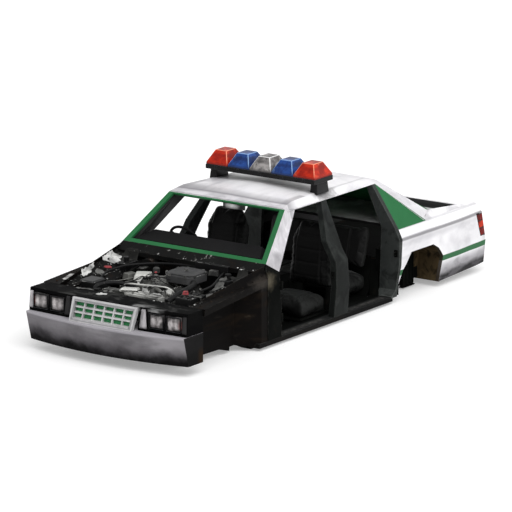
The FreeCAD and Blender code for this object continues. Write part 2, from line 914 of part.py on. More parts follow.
def jamb_rear_edge():
    """Side view of the line where a rear door jamb meets the quarter panel, from the sill up."""
    return [
        (arch_front_station, side_foot_height),
        (arch_front_station, arch_front_height),
        (jamb_belt_station + jamb_wall, jamb_belt_height),
        (jamb_top_station + jamb_wall, side_rail_height),
    ]


def make_rear_jambs():
    """Forward-facing jambs that the rear doors closed on."""
    outer = side_profile(0)[:5]
    inner = [
        (jamb_head_inner_half, side_rail_height), (jamb_inner_half, jamb_belt_height),
        (jamb_inner_half, side_foot_height),
    ]
    front_edge = [
        (jamb_top_station, side_rail_height), (jamb_belt_station, jamb_belt_height),
        (jamb_foot_station, side_foot_height + jamb_chamfer),
        (jamb_foot_station - jamb_chamfer, side_foot_height),
    ]
    band = side_prism(jamb_rear_edge() + front_edge, 0, side_belly_half + cut_overrun)
    jamb = front_prism(outer + inner, jamb_top_station - cut_overrun, arch_top_front_station)
    return pair(jamb.common(band).cut(make_sills()).cut(make_chassis_frame()))


def make_arch_cutter():
    """Room under the left wheel arch, seen from the side."""
    outline = [
        (arch_front_station, arch_front_height),
        (arch_shoulder_front_station, arch_shoulder_front_height),
        (arch_top_front_station, arch_top_height), (arch_top_rear_station, arch_top_height),
        (arch_bend_station, arch_bend_height), (arch_rear_station, arch_rear_height),
        (arch_foot_station, arch_foot_height), (arch_foot_station, 0), (arch_front_station, 0),
    ]
    return side_prism(outline, wheelhouse_inner_half, side_belly_half + cut_overrun)


def quarter_section(station, foot_half, crease_half, shoulder_half, shoulder_height, top_half, top_height):
    """Closed cross-section of the rear quarter panel at a station."""
    belly_height = side_belly_height
    return [
        (foot_half, station, side_foot_height), (crease_half, station, belly_height),
        (crease_half, station, side_crease_height), (shoulder_half, station, shoulder_height),
        (top_half, station, top_height), (top_half - panel_wall, station, top_height - panel_wall / 2),
        (top_half - panel_wall, station, top_height - panel_wall * 2),
        (crease_half - panel_wall, station, side_crease_height - panel_wall),
        (crease_half - panel_wall, station, belly_height),
        (foot_half - panel_wall, station, side_foot_height),
    ]


def tail_cutter():
    """Everything behind the sloping rear edge of the body's side."""
    far = overall_length + cut_overrun
    high = fin_peak_height + cut_overrun
    outline = [
        (fin_rear_station, high), (fin_rear_station, fin_rear_height), (tail_lean_station, tail_lean_height),
        (tail_face_station, tail_face_height), (tail_foot_station, tail_foot_height),
        (tail_foot_station - tail_foot_height, 0), (far, 0), (far, high),
    ]
    return side_prism(outline, -side_belly_half - cut_overrun, side_belly_half + cut_overrun)


def make_c_pillar():
    """Broad rear roof pillar on the left side."""
    head = [
        (side_rail_half, jamb_top_station + jamb_wall, side_rail_height),
        (c_pillar_head_rear_half, c_pillar_head_rear_station, side_rail_height),
        (c_pillar_head_rear_half - c_pillar_wall, c_pillar_head_rear_station, side_rail_height),
        (side_rail_half - c_pillar_wall, jamb_top_station + jamb_wall, side_rail_height),
    ]
    foot = [
        (side_shoulder_half, fin_front_station, c_pillar_foot_height),
        (c_pillar_foot_rear_half, c_pillar_foot_rear_station, c_pillar_foot_height),
        (c_pillar_foot_rear_half - c_pillar_wall, c_pillar_foot_rear_station, c_pillar_foot_height),
        (side_shoulder_half - c_pillar_wall, fin_front_station, c_pillar_foot_height),
    ]
    return loft([foot, head])


def make_quarter_panel():
    """Left rear quarter: side, shoulder fin, wheel arch and rear roof pillar in one pressing."""
    skin = loft([
        quarter_section(
            arch_front_station, side_foot_half, side_crease_half,
            side_shoulder_half, side_shoulder_height,
            side_shoulder_half - panel_wall / 2, side_shoulder_height + shoulder_rise,
        ),
        quarter_section(
            fin_front_station, side_foot_half, side_crease_half,
            side_shoulder_half, side_shoulder_height,
            side_shoulder_half - panel_wall / 2, side_shoulder_height + shoulder_rise,
        ),
        quarter_section(
            fin_peak_station, side_foot_half, side_crease_half,
            side_shoulder_half, side_shoulder_height + shoulder_rise, fin_peak_half, fin_peak_height,
        ),
        quarter_section(
            fin_mid_station, side_foot_half, side_crease_half,
            side_shoulder_half, side_shoulder_height + shoulder_rise + shoulder_rise,
            fin_mid_half, fin_mid_height,
        ),
        quarter_section(
            fin_rear_station, side_foot_half, fin_rear_crease_half,
            side_shoulder_half, side_shoulder_height, fin_rear_half, fin_rear_height,
        ),
        quarter_section(
            overall_length, tail_corner_half - panel_wall / 2, tail_corner_half,
            side_shoulder_half - panel_wall / 2, side_shoulder_height,
            fin_rear_half - panel_wall / 2, fin_rear_height,
        ),
    ])
    skin = skin.cut(make_arch_cutter()).cut(tail_cutter())
    door_side = side_prism(
        jamb_rear_edge() + [
            (jamb_top_station - cut_overrun, side_rail_height),
            (jamb_foot_station - cut_overrun, side_foot_height),
        ],
        0, side_belly_half + cut_overrun,
    )
    foot_rise = side_prism(
        [
            (arch_foot_station - cut_overrun, 0), (overall_length, 0),
            (overall_length, tail_foot_height),
            (arch_foot_station - cut_overrun, arch_foot_height),
        ],
        0, side_belly_half + cut_overrun,
    )
    return joined([skin.cut(door_side).cut(foot_rise), make_c_pillar()])


def make_quarter_blanks():
    """Flat painted panels in place of the small rear side windows."""
    blank = flat_panel(
        [
            (side_rail_half, jamb_top_station + jamb_wall, side_rail_height),
            (side_shoulder_half, fin_front_station + panel_wall, side_shoulder_height),
            (side_shoulder_half, jamb_belt_station + jamb_wall, side_shoulder_height),
        ],
        blank_wall,
    )
    return pair(blank.cut(make_quarter_panel()).cut(make_rear_jambs()))


def make_back_window_blank():
    """Flat painted panel in place of the back window, between the rear roof pillars."""
    blank = flat_panel(
        [
            (-back_blank_base_half, back_blank_base_station, back_blank_base_height),
            (back_blank_base_half, back_blank_base_station, back_blank_base_height),
            (back_blank_top_half, back_blank_top_station, back_blank_top_height),
            (-back_blank_top_half, back_blank_top_station, back_blank_top_height),
        ],
        blank_wall,
    )
    quarter = make_quarter_panel()
    return blank.cut(quarter).cut(mirrored(quarter)).cut(make_roof())


def make_parcel_shelf():
    """Shelf behind the rear seat, with the deck lip that the boot lid met."""
    shelf = block(
        -shelf_half, shelf_half, shelf_front_station, shelf_rear_station,
        shelf_height - shelf_wall, shelf_height,
    )
    quarter = make_quarter_panel()
    shelf = shelf.cut(quarter).cut(mirrored(quarter)).cut(make_back_window_blank())
    trimmed = shelf.cut(make_rear_jambs()).cut(make_quarter_blanks())
    return max(trimmed.Solids, key=lambda solid: solid.Volume)


def make_boot_floor():
    """Floor of the open boot, on the rear rails."""
    top = boot_floor_height
    floor = block(
        -wheelhouse_inner_half + seat_gap, wheelhouse_inner_half - seat_gap,
        boot_floor_front_station + floor_wall, boot_floor_rear_station, top - boot_floor_wall, top,
    )
    return floor


def make_wheelhouses():
    """Inner housings of the rear wheels, closed towards the boot and the cabin."""
    inner_wall = side_prism(
        [
            (arch_shoulder_front_station, wheelhouse_hem_height),
            (arch_shoulder_front_station, arch_shoulder_front_height + wheelhouse_wall),
            (arch_top_front_station, arch_top_height + wheelhouse_wall),
            (arch_top_rear_station, arch_top_height + wheelhouse_wall),
            (arch_rear_station + wheelhouse_wall, arch_rear_height),
            (arch_foot_station + wheelhouse_wall, arch_foot_height),
            (arch_foot_station, arch_foot_height), (arch_foot_station, wheelhouse_hem_height),
        ],
        wheelhouse_inner_half, wheelhouse_inner_half + wheelhouse_wall,
    )
    roof = side_prism(
        [
            (arch_top_front_station - wheelhouse_wall, arch_top_height - wheelhouse_wall),
            (arch_top_front_station, arch_top_height), (arch_top_rear_station, arch_top_height),
            (arch_bend_station, arch_bend_height), (arch_rear_station, arch_rear_height),
            (arch_foot_station, arch_foot_height),
            (arch_foot_station + wheelhouse_wall, arch_foot_height),
            (arch_rear_station + wheelhouse_wall, arch_rear_height),
            (arch_bend_station + wheelhouse_wall, arch_bend_height + wheelhouse_wall),
            (arch_top_rear_station, arch_top_height + wheelhouse_wall),
            (arch_top_front_station - wheelhouse_wall, arch_top_height + wheelhouse_wall),
        ],
        wheelhouse_inner_half + wheelhouse_wall, side_crease_half - panel_wall,
    )
    housing = joined([inner_wall, roof])
    housing = housing.cut(make_quarter_panel()).cut(make_rear_jambs())
    return pair(housing.cut(make_chassis_frame()))


def make_tail_panel():
    """Rear face of the body below the missing boot lid, between the quarter panels."""
    outline = [
        (boot_floor_rear_station + seat_gap, rear_bumper_bottom_height),
        (boot_floor_rear_station + seat_gap, tail_top_height),
        (tail_top_station + tail_wall, tail_top_height),
        (tail_lean_station, tail_lean_height - tail_wall),
        (tail_face_station - tail_wall, tail_face_height + tail_wall),
        (rear_bumper_front_station, rear_bumper_top_height),
        (rear_bumper_front_station, rear_bumper_bottom_height),
    ]
    panel = side_prism(outline, panel_wall - tail_corner_half, tail_corner_half - panel_wall)
    quarter = make_quarter_panel()
    return panel.cut(quarter).cut(mirrored(quarter)).cut(make_chassis_frame())


def tail_lamp_body():
    """Left corner lamp, following the tail's slope and wrapping on to the side."""
    lean = (tail_face_station - tail_lean_station) / (tail_lean_height - tail_face_height)
    top_station = tail_lean_station + (tail_lean_height - tail_lamp_top_height) * lean
    bottom_station = tail_lean_station + (tail_lean_height - tail_lamp_bottom_height) * lean
    outline = [
        (top_station - tail_lamp_reach, tail_lamp_top_height), (top_station, tail_lamp_top_height),
        (bottom_station, tail_lamp_bottom_height),
        (bottom_station - tail_lamp_reach, tail_lamp_bottom_height),
    ]
    return side_prism(outline, tail_corner_half - tail_lamp_width, side_belly_half + cut_overrun)


def make_tail_lamps():
    """Lamps let into the rear corners, flush with the quarter panels' skin."""
    return pair(tail_lamp_body().common(full_quarter_corner()))


def full_quarter_corner():
    """Rear end of the left quarter before its lamp is let in, filled inwards."""
    return make_quarter_panel()


def make_rear_bumper():
    """Rear bumper bar between the quarter panels' ends, bowed outwards."""
    middle = Vector(0, overall_length, rear_bumper_bottom_height)
    left = Vector(rear_bumper_half, tail_foot_station, rear_bumper_bottom_height)
    right = Vector(-rear_bumper_half, tail_foot_station, rear_bumper_bottom_height)
    bow = Part.Arc(right, middle, left).toShape()
    inner_left = Vector(rear_bumper_half, rear_bumper_front_station + seat_gap, rear_bumper_bottom_height)
    inner_right = Vector(-rear_bumper_half, rear_bumper_front_station + seat_gap, rear_bumper_bottom_height)
    edges = [bow, Part.makeLine(left, inner_left), Part.makeLine(inner_left, inner_right)]
    edges.append(Part.makeLine(inner_right, right))
    bar = Part.Face(Part.Wire(edges))
    bar = bar.extrude(Vector(0, 0, rear_bumper_top_height - rear_bumper_bottom_height - seat_gap))
    quarter = make_quarter_panel()
    return bar.cut(quarter).cut(mirrored(quarter)).cut(make_tail_panel())


def bowed_outline(half, corner_station, bow, rear_station):
    """Plan of a front piece whose face bows forward between its corners, as a face at height 0."""
    left = Vector(half, corner_station, 0)
    right = Vector(-half, corner_station, 0)
    front = Part.Arc(right, Vector(0, corner_station - bow, 0), left).toShape()
    back_left = Vector(half, rear_station, 0)
    back_right = Vector(-half, rear_station, 0)
    edges = [front, Part.makeLine(left, back_left), Part.makeLine(back_left, back_right)]
    edges.append(Part.makeLine(back_right, right))
    return Part.Wire(edges)


def at_height(wire, height):
    """A copy of a plan outline lifted to a height."""
    lifted = wire.copy()
    lifted.translate(Vector(0, 0, height))
    return lifted


def make_front_bumper():
    """Deep slanted front bumper with a bowed face, short side returns and a hollow back."""
    top = at_height(
        bowed_outline(bumper_half, bumper_corner_top_station, bumper_bow, bumper_side_rear_station),
        bumper_top_height,
    )
    bottom = at_height(
        bowed_outline(bumper_half, bumper_corner_bottom_station, bumper_bow, bumper_side_rear_station),
        bumper_bottom_height,
    )
    outer = Part.makeLoft([bottom, top], True, True)
    inner_half = bumper_half - bumper_wall
    inner_top = at_height(
        bowed_outline(
            inner_half, bumper_corner_top_station + bumper_wall, bumper_bow,
            bumper_side_rear_station + cut_overrun,
        ),
        bumper_top_height - bumper_lip_depth,
    )
    inner_bottom = at_height(
        bowed_outline(
            inner_half, bumper_corner_bottom_station + bumper_wall, bumper_bow,
            bumper_side_rear_station + cut_overrun,
        ),
        bumper_bottom_height - cut_overrun,
    )
    return outer.cut(Part.makeLoft([inner_bottom, inner_top], True, True)).cut(make_chassis_frame())


def make_nose_panel():
    """Lamp panel above the bumper, with side cheeks, lamp pockets and the grille's opening."""
    floor = bumper_top_height + seat_gap
    bottom = at_height(
        bowed_outline(
            nose_front_half, nose_side_front_station - nose_wall / 2, nose_wall, nose_side_rear_station,
        ),
        floor,
    )
    top = at_height(
        bowed_outline(nose_front_half, nose_side_front_station, nose_wall, nose_side_rear_station),
        nose_top_height,
    )
    outer = Part.makeLoft([bottom, top], True, True)
    room = block(
        -nose_front_half + nose_wall, nose_front_half - nose_wall,
        nose_side_front_station + nose_hole_front_wall, nose_side_rear_station + cut_overrun,
        0, nose_top_height - nose_wall,
    )
    grille_room = block(
        -grille_half_top - seat_gap, grille_half_top + seat_gap, 0,
        nose_side_front_station + nose_hole_front_wall + cut_overrun,
        0, grille_top_height + seat_gap,
    )
    shell = outer.cut(room).cut(grille_room)
    for centre in (lamp_inner_centre, lamp_outer_centre):
        for sign in (-1, 1):
            shell = shell.cut(lamp_block(sign * centre, lamp_bezel))
    return shell


def lamp_block(centre, margin):
    """Room for one lamp in the nose panel, larger than the lamp by a margin."""
    front = nose_side_front_station - nose_wall * 2
    return block(
        centre - lamp_width / 2 - margin / 2, centre + lamp_width / 2 + margin / 2,
        front, front + nose_wall * 2 + lamp_depth / 2,
        lamp_centre_height - lamp_height / 2 - margin / 2,
        lamp_centre_height + lamp_height / 2 + margin / 2,
    )


def make_headlamps():
    """Four rectangular lamp units, two on each side, with slightly bulged lenses."""
    lamps = []
    for centre in (lamp_inner_centre, lamp_outer_centre):
        back = nose_side_front_station + lamp_depth / 2 - seat_gap
        front = nose_side_front_station - lamp_bulge
        rear_section = [
            (centre - lamp_width / 2, back, lamp_centre_height - lamp_height / 2),
            (centre + lamp_width / 2, back, lamp_centre_height - lamp_height / 2),
            (centre + lamp_width / 2, back, lamp_centre_height + lamp_height / 2),
            (centre - lamp_width / 2, back, lamp_centre_height + lamp_height / 2),
        ]
        rim_section = [(x, front + lamp_bezel, z) for x, y, z in rear_section]
        lens_section = [
            (
                centre + math.copysign(lamp_width / 2 - lamp_bezel, x - centre), front,
                lamp_centre_height + math.copysign(lamp_height / 2 - lamp_bezel, z - lamp_centre_height),
            )
            for x, y, z in rear_section
        ]
        lamps.append(loft([rear_section, rim_section]).fuse(loft([rim_section, lens_section])))
    return Part.makeCompound(lamps + [mirrored(lamp) for lamp in lamps])


def grille_panel(margin_side, margin_up, depth_from, depth_to):
    """A raked slab as large as the grille less the margins, between two depths behind its face."""
    rake = (grille_top_station - grille_base_station) / (grille_top_height - grille_base_height)
    low = grille_base_height + margin_up
    high = grille_top_height - margin_up
    low_station = grille_base_station + margin_up * rake
    high_station = grille_top_station - margin_up * rake
    low_half = grille_half_base - margin_side
    high_half = grille_half_top - margin_side
    sections = []
    for depth in (depth_from, depth_to):
        sections.append([
            (-low_half, low_station + depth, low), (low_half, low_station + depth, low),
            (high_half, high_station + depth, high), (-high_half, high_station + depth, high),
        ])
    return loft(sections)


def make_grille():
    """Raked grille: a frame with a grid of bars in front of its coloured backing."""
    frame = grille_panel(0, 0, 0, grille_depth).cut(
        grille_panel(grille_frame, grille_frame, -cut_overrun, grille_depth + cut_overrun)
    )
    pieces = [frame]
    field_half = grille_half_base - grille_frame / 2
    pitch = field_half * 2 / grille_columns
    for column in range(1, grille_columns):
        x = -field_half + pitch * column
        bar = block(
            x - grille_bar / 2, x + grille_bar / 2, 0, overall_length,
            grille_base_height, grille_top_height,
        )
        pieces.append(bar.common(grille_panel(grille_bar, grille_bar, grille_bar, grille_depth)))
    row_pitch = (grille_top_height - grille_base_height - grille_frame * 2) / grille_rows
    for row in range(1, grille_rows):
        z = grille_base_height + grille_frame + row_pitch * row
        bar = block(
            -grille_half_top, grille_half_top, 0, overall_length, z - grille_bar / 2, z + grille_bar / 2,
        )
        pieces.append(bar.common(grille_panel(grille_bar, grille_bar, grille_bar, grille_depth)))
    return joined(pieces).cut(make_front_bumper()).cut(make_nose_panel())


def make_grille_backing():
    """Coloured plate that fills the grille's cells from behind."""
    return grille_panel(
        grille_bar, grille_bar, grille_depth + seat_gap, grille_depth + seat_gap + grille_mesh_wall,
    ).cut(make_front_bumper()).cut(make_nose_panel())


def bonnet_line(station):
    """Height of the missing bonnet's plane at a station, from the nose up to the scuttle."""
    slope = (ledge_inner_rear_height - ledge_front_height) / (apron_rear_station - apron_front_station)
    return ledge_front_height + (station - apron_front_station) * slope


def make_inner_wing():
    """Left inner wing: ledge that the wing was bolted to, burnt apron and the wheel's splash wall."""
    front = apron_front_station + seat_gap
    inner_half = apron_half - apron_wall

    def ledge_section(station, ledge_inner_half, ledge_outer_half, ledge_inner_height, ledge_outer_height):
        cover_height = ledge_outer_height - ledge_wall
        return [
            (ledge_inner_half, station, ledge_inner_height), (ledge_outer_half, station, ledge_outer_height),
            (ledge_outer_half, station, cover_height - apron_wall),
            (inner_half, station, cover_height - apron_wall),
            (inner_half, station, cover_height), (ledge_inner_half, station, cover_height),
        ]
    ledge = loft([
        ledge_section(
            front, ledge_inner_front_half, ledge_outer_front_half, ledge_front_height, ledge_front_height,
        ),
        ledge_section(
            apron_rear_station, ledge_inner_rear_half, ledge_outer_rear_half,
            ledge_inner_rear_height, ledge_outer_rear_height,
        ),
    ])
    diagonal = apron_wall / 2
    plan = [
        (apron_half, front), (apron_half, splash_front_station),
        (splash_half, splash_rear_station), (splash_half, apron_rear_station),
        (splash_half - apron_wall, apron_rear_station),
        (splash_half - apron_wall, splash_rear_station + diagonal),
        (inner_half, splash_front_station + diagonal), (inner_half, front),
    ]
    points = [Vector(half, station, 0) for half, station in plan]
    apron = Part.Face(Part.makePolygon(points + points[:1])).extrude(Vector(0, 0, ledge_inner_rear_height))
    tuck = ledge_wall + apron_wall / 2
    band = side_prism(
        [
            (front, ledge_front_height - tuck), (front, apron_hem_front_height),
            (apron_hem_mid_station, apron_hem_mid_height), (apron_tip_station, apron_tip_height),
            (apron_notch_station, apron_notch_height), (splash_front_station, apron_notch_height),
            (splash_rear_station, apron_hem_rear_height), (apron_rear_station, apron_hem_rear_height),
            (apron_rear_station, ledge_outer_rear_height - tuck),
        ],
        0, side_belly_half + cut_overrun,
    )
    wing = joined([ledge, apron.common(band)])
    wing = wing.cut(make_cowl()).cut(make_sills()).cut(make_chassis_frame())
    return wing.cut(make_firewall()).cut(make_hinge_posts())


def make_bay_shelves():
    """Sloping shelves of the engine bay, from the wing ledges inwards and down."""
    front = bay_shelf_front_station
    rear = apron_rear_station - seat_gap

    def section(station, outer_half):
        outer_height = bonnet_line(station) - ledge_wall
        inner_height = outer_height - shelf_sink
        return [
            (shelf_inner_half, station, inner_height), (outer_half, station, outer_height),
            (outer_half, station, outer_height - bay_shelf_wall),
            (shelf_inner_half, station, inner_height - bay_shelf_wall),
        ]
    share = (front - apron_front_station) / (apron_rear_station - apron_front_station)
    front_half = ledge_inner_front_half + (ledge_inner_rear_half - ledge_inner_front_half) * share
    shelf = loft([section(front, front_half - seat_gap), section(rear, ledge_inner_rear_half - seat_gap)])
    shelves = pair(shelf.cut(make_inner_wing()))
    boxes = [make_battery(), make_fuse_box(), make_reservoirs(), make_heater_box()]
    for neighbour in boxes + [make_brake_servo(), make_cowl()]:
        shelves = shelves.cut(neighbour)
    return shelves


def make_radiator():
    """Radiator core with its tanks, standing in an upright support across the nose."""
    outer = block(
        -support_half, support_half, radiator_station, radiator_station + support_depth,
        support_bottom_height, support_top_height,
    )
    hole = block(
        -radiator_half, radiator_half, radiator_station - cut_overrun,
        radiator_station + support_depth + cut_overrun,
        support_bottom_height + support_bar, support_top_height - support_bar,
    )
    core = block(
        -radiator_half, radiator_half, radiator_station + support_depth / 4,
        radiator_station + support_depth / 4 + radiator_depth,
        radiator_bottom_height, radiator_top_height,
    )
    return joined([outer.cut(hole), core]).cut(make_chassis_frame())


def make_fan_shroud():
    """Fan shroud behind the radiator, with three raised pads on its top."""
    front = radiator_station + support_depth / 4 + radiator_depth + seat_gap
    box = block(
        -shroud_half, shroud_half, front, shroud_rear_station, shroud_bottom_height, shroud_top_height,
    )
    mouth = Part.makeCylinder(
        shroud_half / 2, shroud_rear_station,
        Vector(0, front + tray_wall, (shroud_bottom_height + shroud_top_height) / 2), Vector(0, 1, 0),
    )
    pads = []
    middle = (front + shroud_rear_station) / 2
    for index in (-1, 0, 1):
        x = shroud_pad_offset + index * shroud_pad_pitch
        pads.append(
            block(
                x - shroud_pad_width / 2, x + shroud_pad_width / 2,
                middle - shroud_pad_length / 2, middle + shroud_pad_length / 2,
                shroud_top_height, shroud_top_height + shroud_pad_height,
            )
        )
    return joined([box.cut(mouth)] + pads).cut(make_radiator()).cut(make_chassis_frame())


def make_engine():
    """V-shaped engine with its two heads, sump, gearbox and front pulley."""
    crank_section = [
        (-engine_half, engine_bottom_height), (engine_half, engine_bottom_height),
        (engine_half, engine_deck_height - head_reach), (engine_half + head_reach, engine_deck_height),
        (engine_half, head_height), (valley_half, engine_deck_height),
        (-valley_half, engine_deck_height), (-engine_half, head_height),
        (-engine_half - head_reach, engine_deck_height), (-engine_half, engine_deck_height - head_reach),
    ]
    body = front_prism(crank_section, engine_front_station, engine_rear_station)
    sump = block(
        -engine_half + head_reach / 2, engine_half - head_reach / 2,
        engine_front_station + sump_setback, engine_rear_station,
        sump_bottom_height, engine_bottom_height,
    )
    gearbox = front_prism(
        [
            (-gearbox_half, gearbox_bottom_height), (gearbox_half, gearbox_bottom_height),
            (gearbox_half, gearbox_height / 2), (gearbox_half / 2, gearbox_height - floor_wall * 2),
            (-gearbox_half / 2, gearbox_height - floor_wall * 2), (-gearbox_half, gearbox_height / 2),
        ],
        engine_rear_station, engine_rear_station + gearbox_length,
    )
    pulley = Part.makeCylinder(
        pulley_radius, pulley_width,
        Vector(0, engine_front_station - pulley_width, pulley_height),
        Vector(0, 1, 0),
    )
    return joined([body, sump, gearbox, pulley]).cut(make_chassis_frame()).cut(make_floor_pan())


def make_rocker_covers():
    """Long covers on the sloping tops of both heads."""
    outward = Vector(head_reach, 0, engine_deck_height - head_height)
    outward.normalize()
    normal = Vector(-outward.z, 0, outward.x)
    start = Vector(engine_half, 0, head_height) + outward * rocker_margin + normal * seat_gap
    end = Vector(engine_half + head_reach, 0, engine_deck_height) - outward * rocker_margin
    end = end + normal * seat_gap
    top_start = start + normal * rocker_wall + outward * rocker_margin / 2
    top_end = end + normal * rocker_wall - outward * rocker_margin / 2
    section = [(point.x, point.z) for point in (start, end, top_end, top_start)]
    cover = front_prism(
        section, engine_front_station + rocker_margin, engine_rear_station - rocker_margin,
    )
    return pair(cover).cut(make_engine())


def make_intake():
    """Intake manifold in the valley, with the round distributor standing on its front."""
    manifold = block(
        -valley_half + seat_gap, valley_half - seat_gap,
        engine_front_station + pulley_width, engine_rear_station - pulley_width,
        engine_deck_height + seat_gap, intake_height,
    )
    distributor = Part.makeCylinder(
        distributor_radius, bonnet_line(distributor_station) - bonnet_gap - engine_deck_height - seat_gap,
        Vector(-distributor_half, distributor_station, engine_deck_height + seat_gap),
    )
    return joined([manifold, distributor]).cut(make_engine()).cut(make_rocker_covers())


def make_air_cleaner():
    """Flat box of the air cleaner, left of the middle, with a raised lid."""
    low = intake_height + seat_gap

    def ring(shrink, height):
        left = cleaner_offset - cleaner_half + shrink
        right = cleaner_offset + cleaner_half - shrink
        front = cleaner_station - cleaner_length / 2 + shrink
        rear = cleaner_station + cleaner_length / 2 - shrink
        corner = cleaner_corner
        return [
            (left + corner, front, height), (right - corner, front, height),
            (right, front + corner, height), (right, rear - corner, height),
            (right - corner, rear, height), (left + corner, rear, height),
            (left, rear - corner, height), (left, front + corner, height),
        ]
    top = intake_height + cleaner_height
    lid = cleaner_lid_rise
    box = loft([ring(0, low), ring(0, top - lid), ring(lid, top - lid), ring(lid, top)])
    return box.cut(make_rocker_covers()).cut(make_engine())


def shelf_box(centre_half, width, station, length, shelf_height, sink):
    """A box under the bonnet line on a tray that runs out to the left inner wing."""
    top = bonnet_line(station) - sink
    case = block(
        centre_half - width / 2, centre_half + width / 2, station, station + length, shelf_height, top,
    )
    tray = block(
        centre_half - width / 2, apron_half - apron_wall - seat_gap, station, station + length,
        shelf_height - tray_wall, shelf_height,
    )
    return joined([case, tray])


def make_battery():
    """Burnt battery on its tray, on the left of the bay."""
    return shelf_box(
        battery_half, battery_width, battery_station, battery_length, battery_shelf_height, bonnet_gap,
    )


def make_fuse_box():
    """Fuse box on its tray, on the right of the bay."""
    return mirrored(
        shelf_box(
            battery_half, fuse_box_width, battery_station, fuse_box_length,
            fuse_box_shelf_height, bonnet_gap,
        )
    )


def make_reservoirs():
    """Washer bottle on the left and coolant tank on the right, with their filler necks."""
    bottle = shelf_box(
        bottle_half, bottle_width, bottle_station, bottle_length, bottle_shelf_height, bonnet_gap * 3,
    )
    low = bonnet_line(bottle_station) - bonnet_gap * 3
    neck = Part.makeCylinder(
        bottle_neck_radius, bonnet_gap * 2, Vector(bottle_half, bottle_station + bottle_length / 2, low),
    )
    return pair(joined([bottle, neck]))


def make_heater_box():
    """Heater box on the bulkhead, left of the engine."""
    rear = firewall_station - seat_gap
    return block(
        heater_inner_half, heater_inner_half + heater_width, rear - heater_length, rear,
        heater_bottom_height, bonnet_line(rear - heater_length) - bonnet_gap,
    ).cut(make_cowl())


def make_brake_servo():
    """Brake servo and master cylinder on the bulkhead, ahead of the driver."""
    rear = firewall_station - seat_gap
    drum = Part.makeCylinder(
        servo_radius, servo_length, Vector(driver_half, rear, servo_height), Vector(0, -1, 0),
    )
    master = block(
        driver_half - master_half, driver_half + master_half,
        rear - servo_length - master_length, rear - servo_length,
        servo_height - master_half, servo_height + master_half,
    )
    return joined([drum, master]).cut(make_cowl())


def make_dashboard():
    """Dashboard across the cabin, with an instrument binnacle facing the driver on the right."""
    body = side_prism(
        [
            (dash_front_station, dash_bottom_height), (dash_front_station, dash_top_front_height),
            (dash_rear_station, dash_top_rear_height),
            (dash_rear_station - dash_face_lean, dash_bottom_height),
        ],
        -dash_half, dash_half,
    )
    ends = front_prism(
        [
            (-dash_half, dash_bottom_height), (dash_half, dash_bottom_height),
            (dash_half, dash_shoulder_height), (dash_top_half, dash_top_rear_height),
            (-dash_top_half, dash_top_rear_height), (-dash_half, dash_shoulder_height),
        ],
        dash_front_station, dash_rear_station,
    )
    binnacle = loft([
        [
            (driver_half - binnacle_half, dash_rear_station - dash_face_lean, binnacle_bottom_height),
            (driver_half + binnacle_half, dash_rear_station - dash_face_lean, binnacle_bottom_height),
            (driver_half + binnacle_half, dash_rear_station - dash_face_lean, binnacle_top_height),
            (driver_half - binnacle_half, dash_rear_station - dash_face_lean, binnacle_top_height),
        ],
        [
            (driver_half - binnacle_half, dash_rear_station + binnacle_reach / 2, binnacle_bottom_height),
            (driver_half + binnacle_half, dash_rear_station + binnacle_reach / 2, binnacle_bottom_height),
            (driver_half + binnacle_half, dash_rear_station + binnacle_reach, binnacle_top_height),
            (driver_half - binnacle_half, dash_rear_station + binnacle_reach, binnacle_top_height),
        ],
    ])
    dash = joined([body.common(ends), binnacle])
    return dash.cut(make_a_pillars()).cut(make_windscreen_trim()).cut(make_hinge_posts()).cut(column_room())


def column_direction():
    """Unit vector up the steering column, from the bulkhead towards the driver."""
    lean = math.radians(column_lean_degrees)
    return Vector(0, math.cos(lean), math.sin(lean))


def wheel_centre():
    """Middle of the steering wheel's rim."""
    return Vector(driver_half, wheel_centre_station, wheel_centre_height)


def column_room():
    """Room for the steering column through the dashboard."""
    end = wheel_centre()
    return cylinder_between(end - column_direction() * column_length * 2, end, column_radius + seat_gap)


def make_steering_column():
    """Column shroud below the wheel, through the dashboard, with the socket of its shaft."""
    axis = column_direction()
    top = wheel_centre() - axis * (wheel_dish + wheel_hub_length / 2 + column_clearance)
    shroud = cylinder_between(top - axis * column_length, top, column_radius)
    socket = cylinder_between(
        top - axis * (shaft_engagement + column_clearance), top + axis * cut_overrun,
        column_shaft_radius + shaft_clearance,
    )
    return shroud.cut(socket)


def make_steering_wheel():
    """Burnt steering wheel: rim, hub, spokes and the end of its shaft."""
    axis = column_direction()
    centre = wheel_centre()
    rim = Part.makeTorus(wheel_radius - wheel_rim_radius, wheel_rim_radius, centre, axis)
    hub_middle = centre - axis * wheel_dish
    hub = cylinder_between(
        hub_middle - axis * wheel_hub_length / 2, hub_middle + axis * wheel_hub_length / 2,
        wheel_hub_radius,
    )
    across = Vector(1, 0, 0)
    upward = axis.cross(across)
    spokes = []
    for index in range(wheel_spoke_count):
        turn = math.radians(360 / wheel_spoke_count * index - 90)
        outward = across * math.cos(turn) - upward * math.sin(turn)
        sideways = axis.cross(outward)
        start = hub_middle
        end = centre + outward * (wheel_radius - wheel_rim_radius)
        corners = [
            start - sideways * wheel_spoke_width / 2, start + sideways * wheel_spoke_width / 2,
            end + sideways * wheel_spoke_width / 3, end - sideways * wheel_spoke_width / 3,
        ]
        spokes.append(
            Part.Face(Part.makePolygon(corners + corners[:1])).extrude(axis * wheel_spoke_wall)
        )
    shaft_end = hub_middle - axis * (wheel_hub_length / 2 + column_clearance + shaft_engagement)
    shaft = cylinder_between(shaft_end, hub_middle, column_shaft_radius)
    return joined([rim, hub, shaft] + spokes)


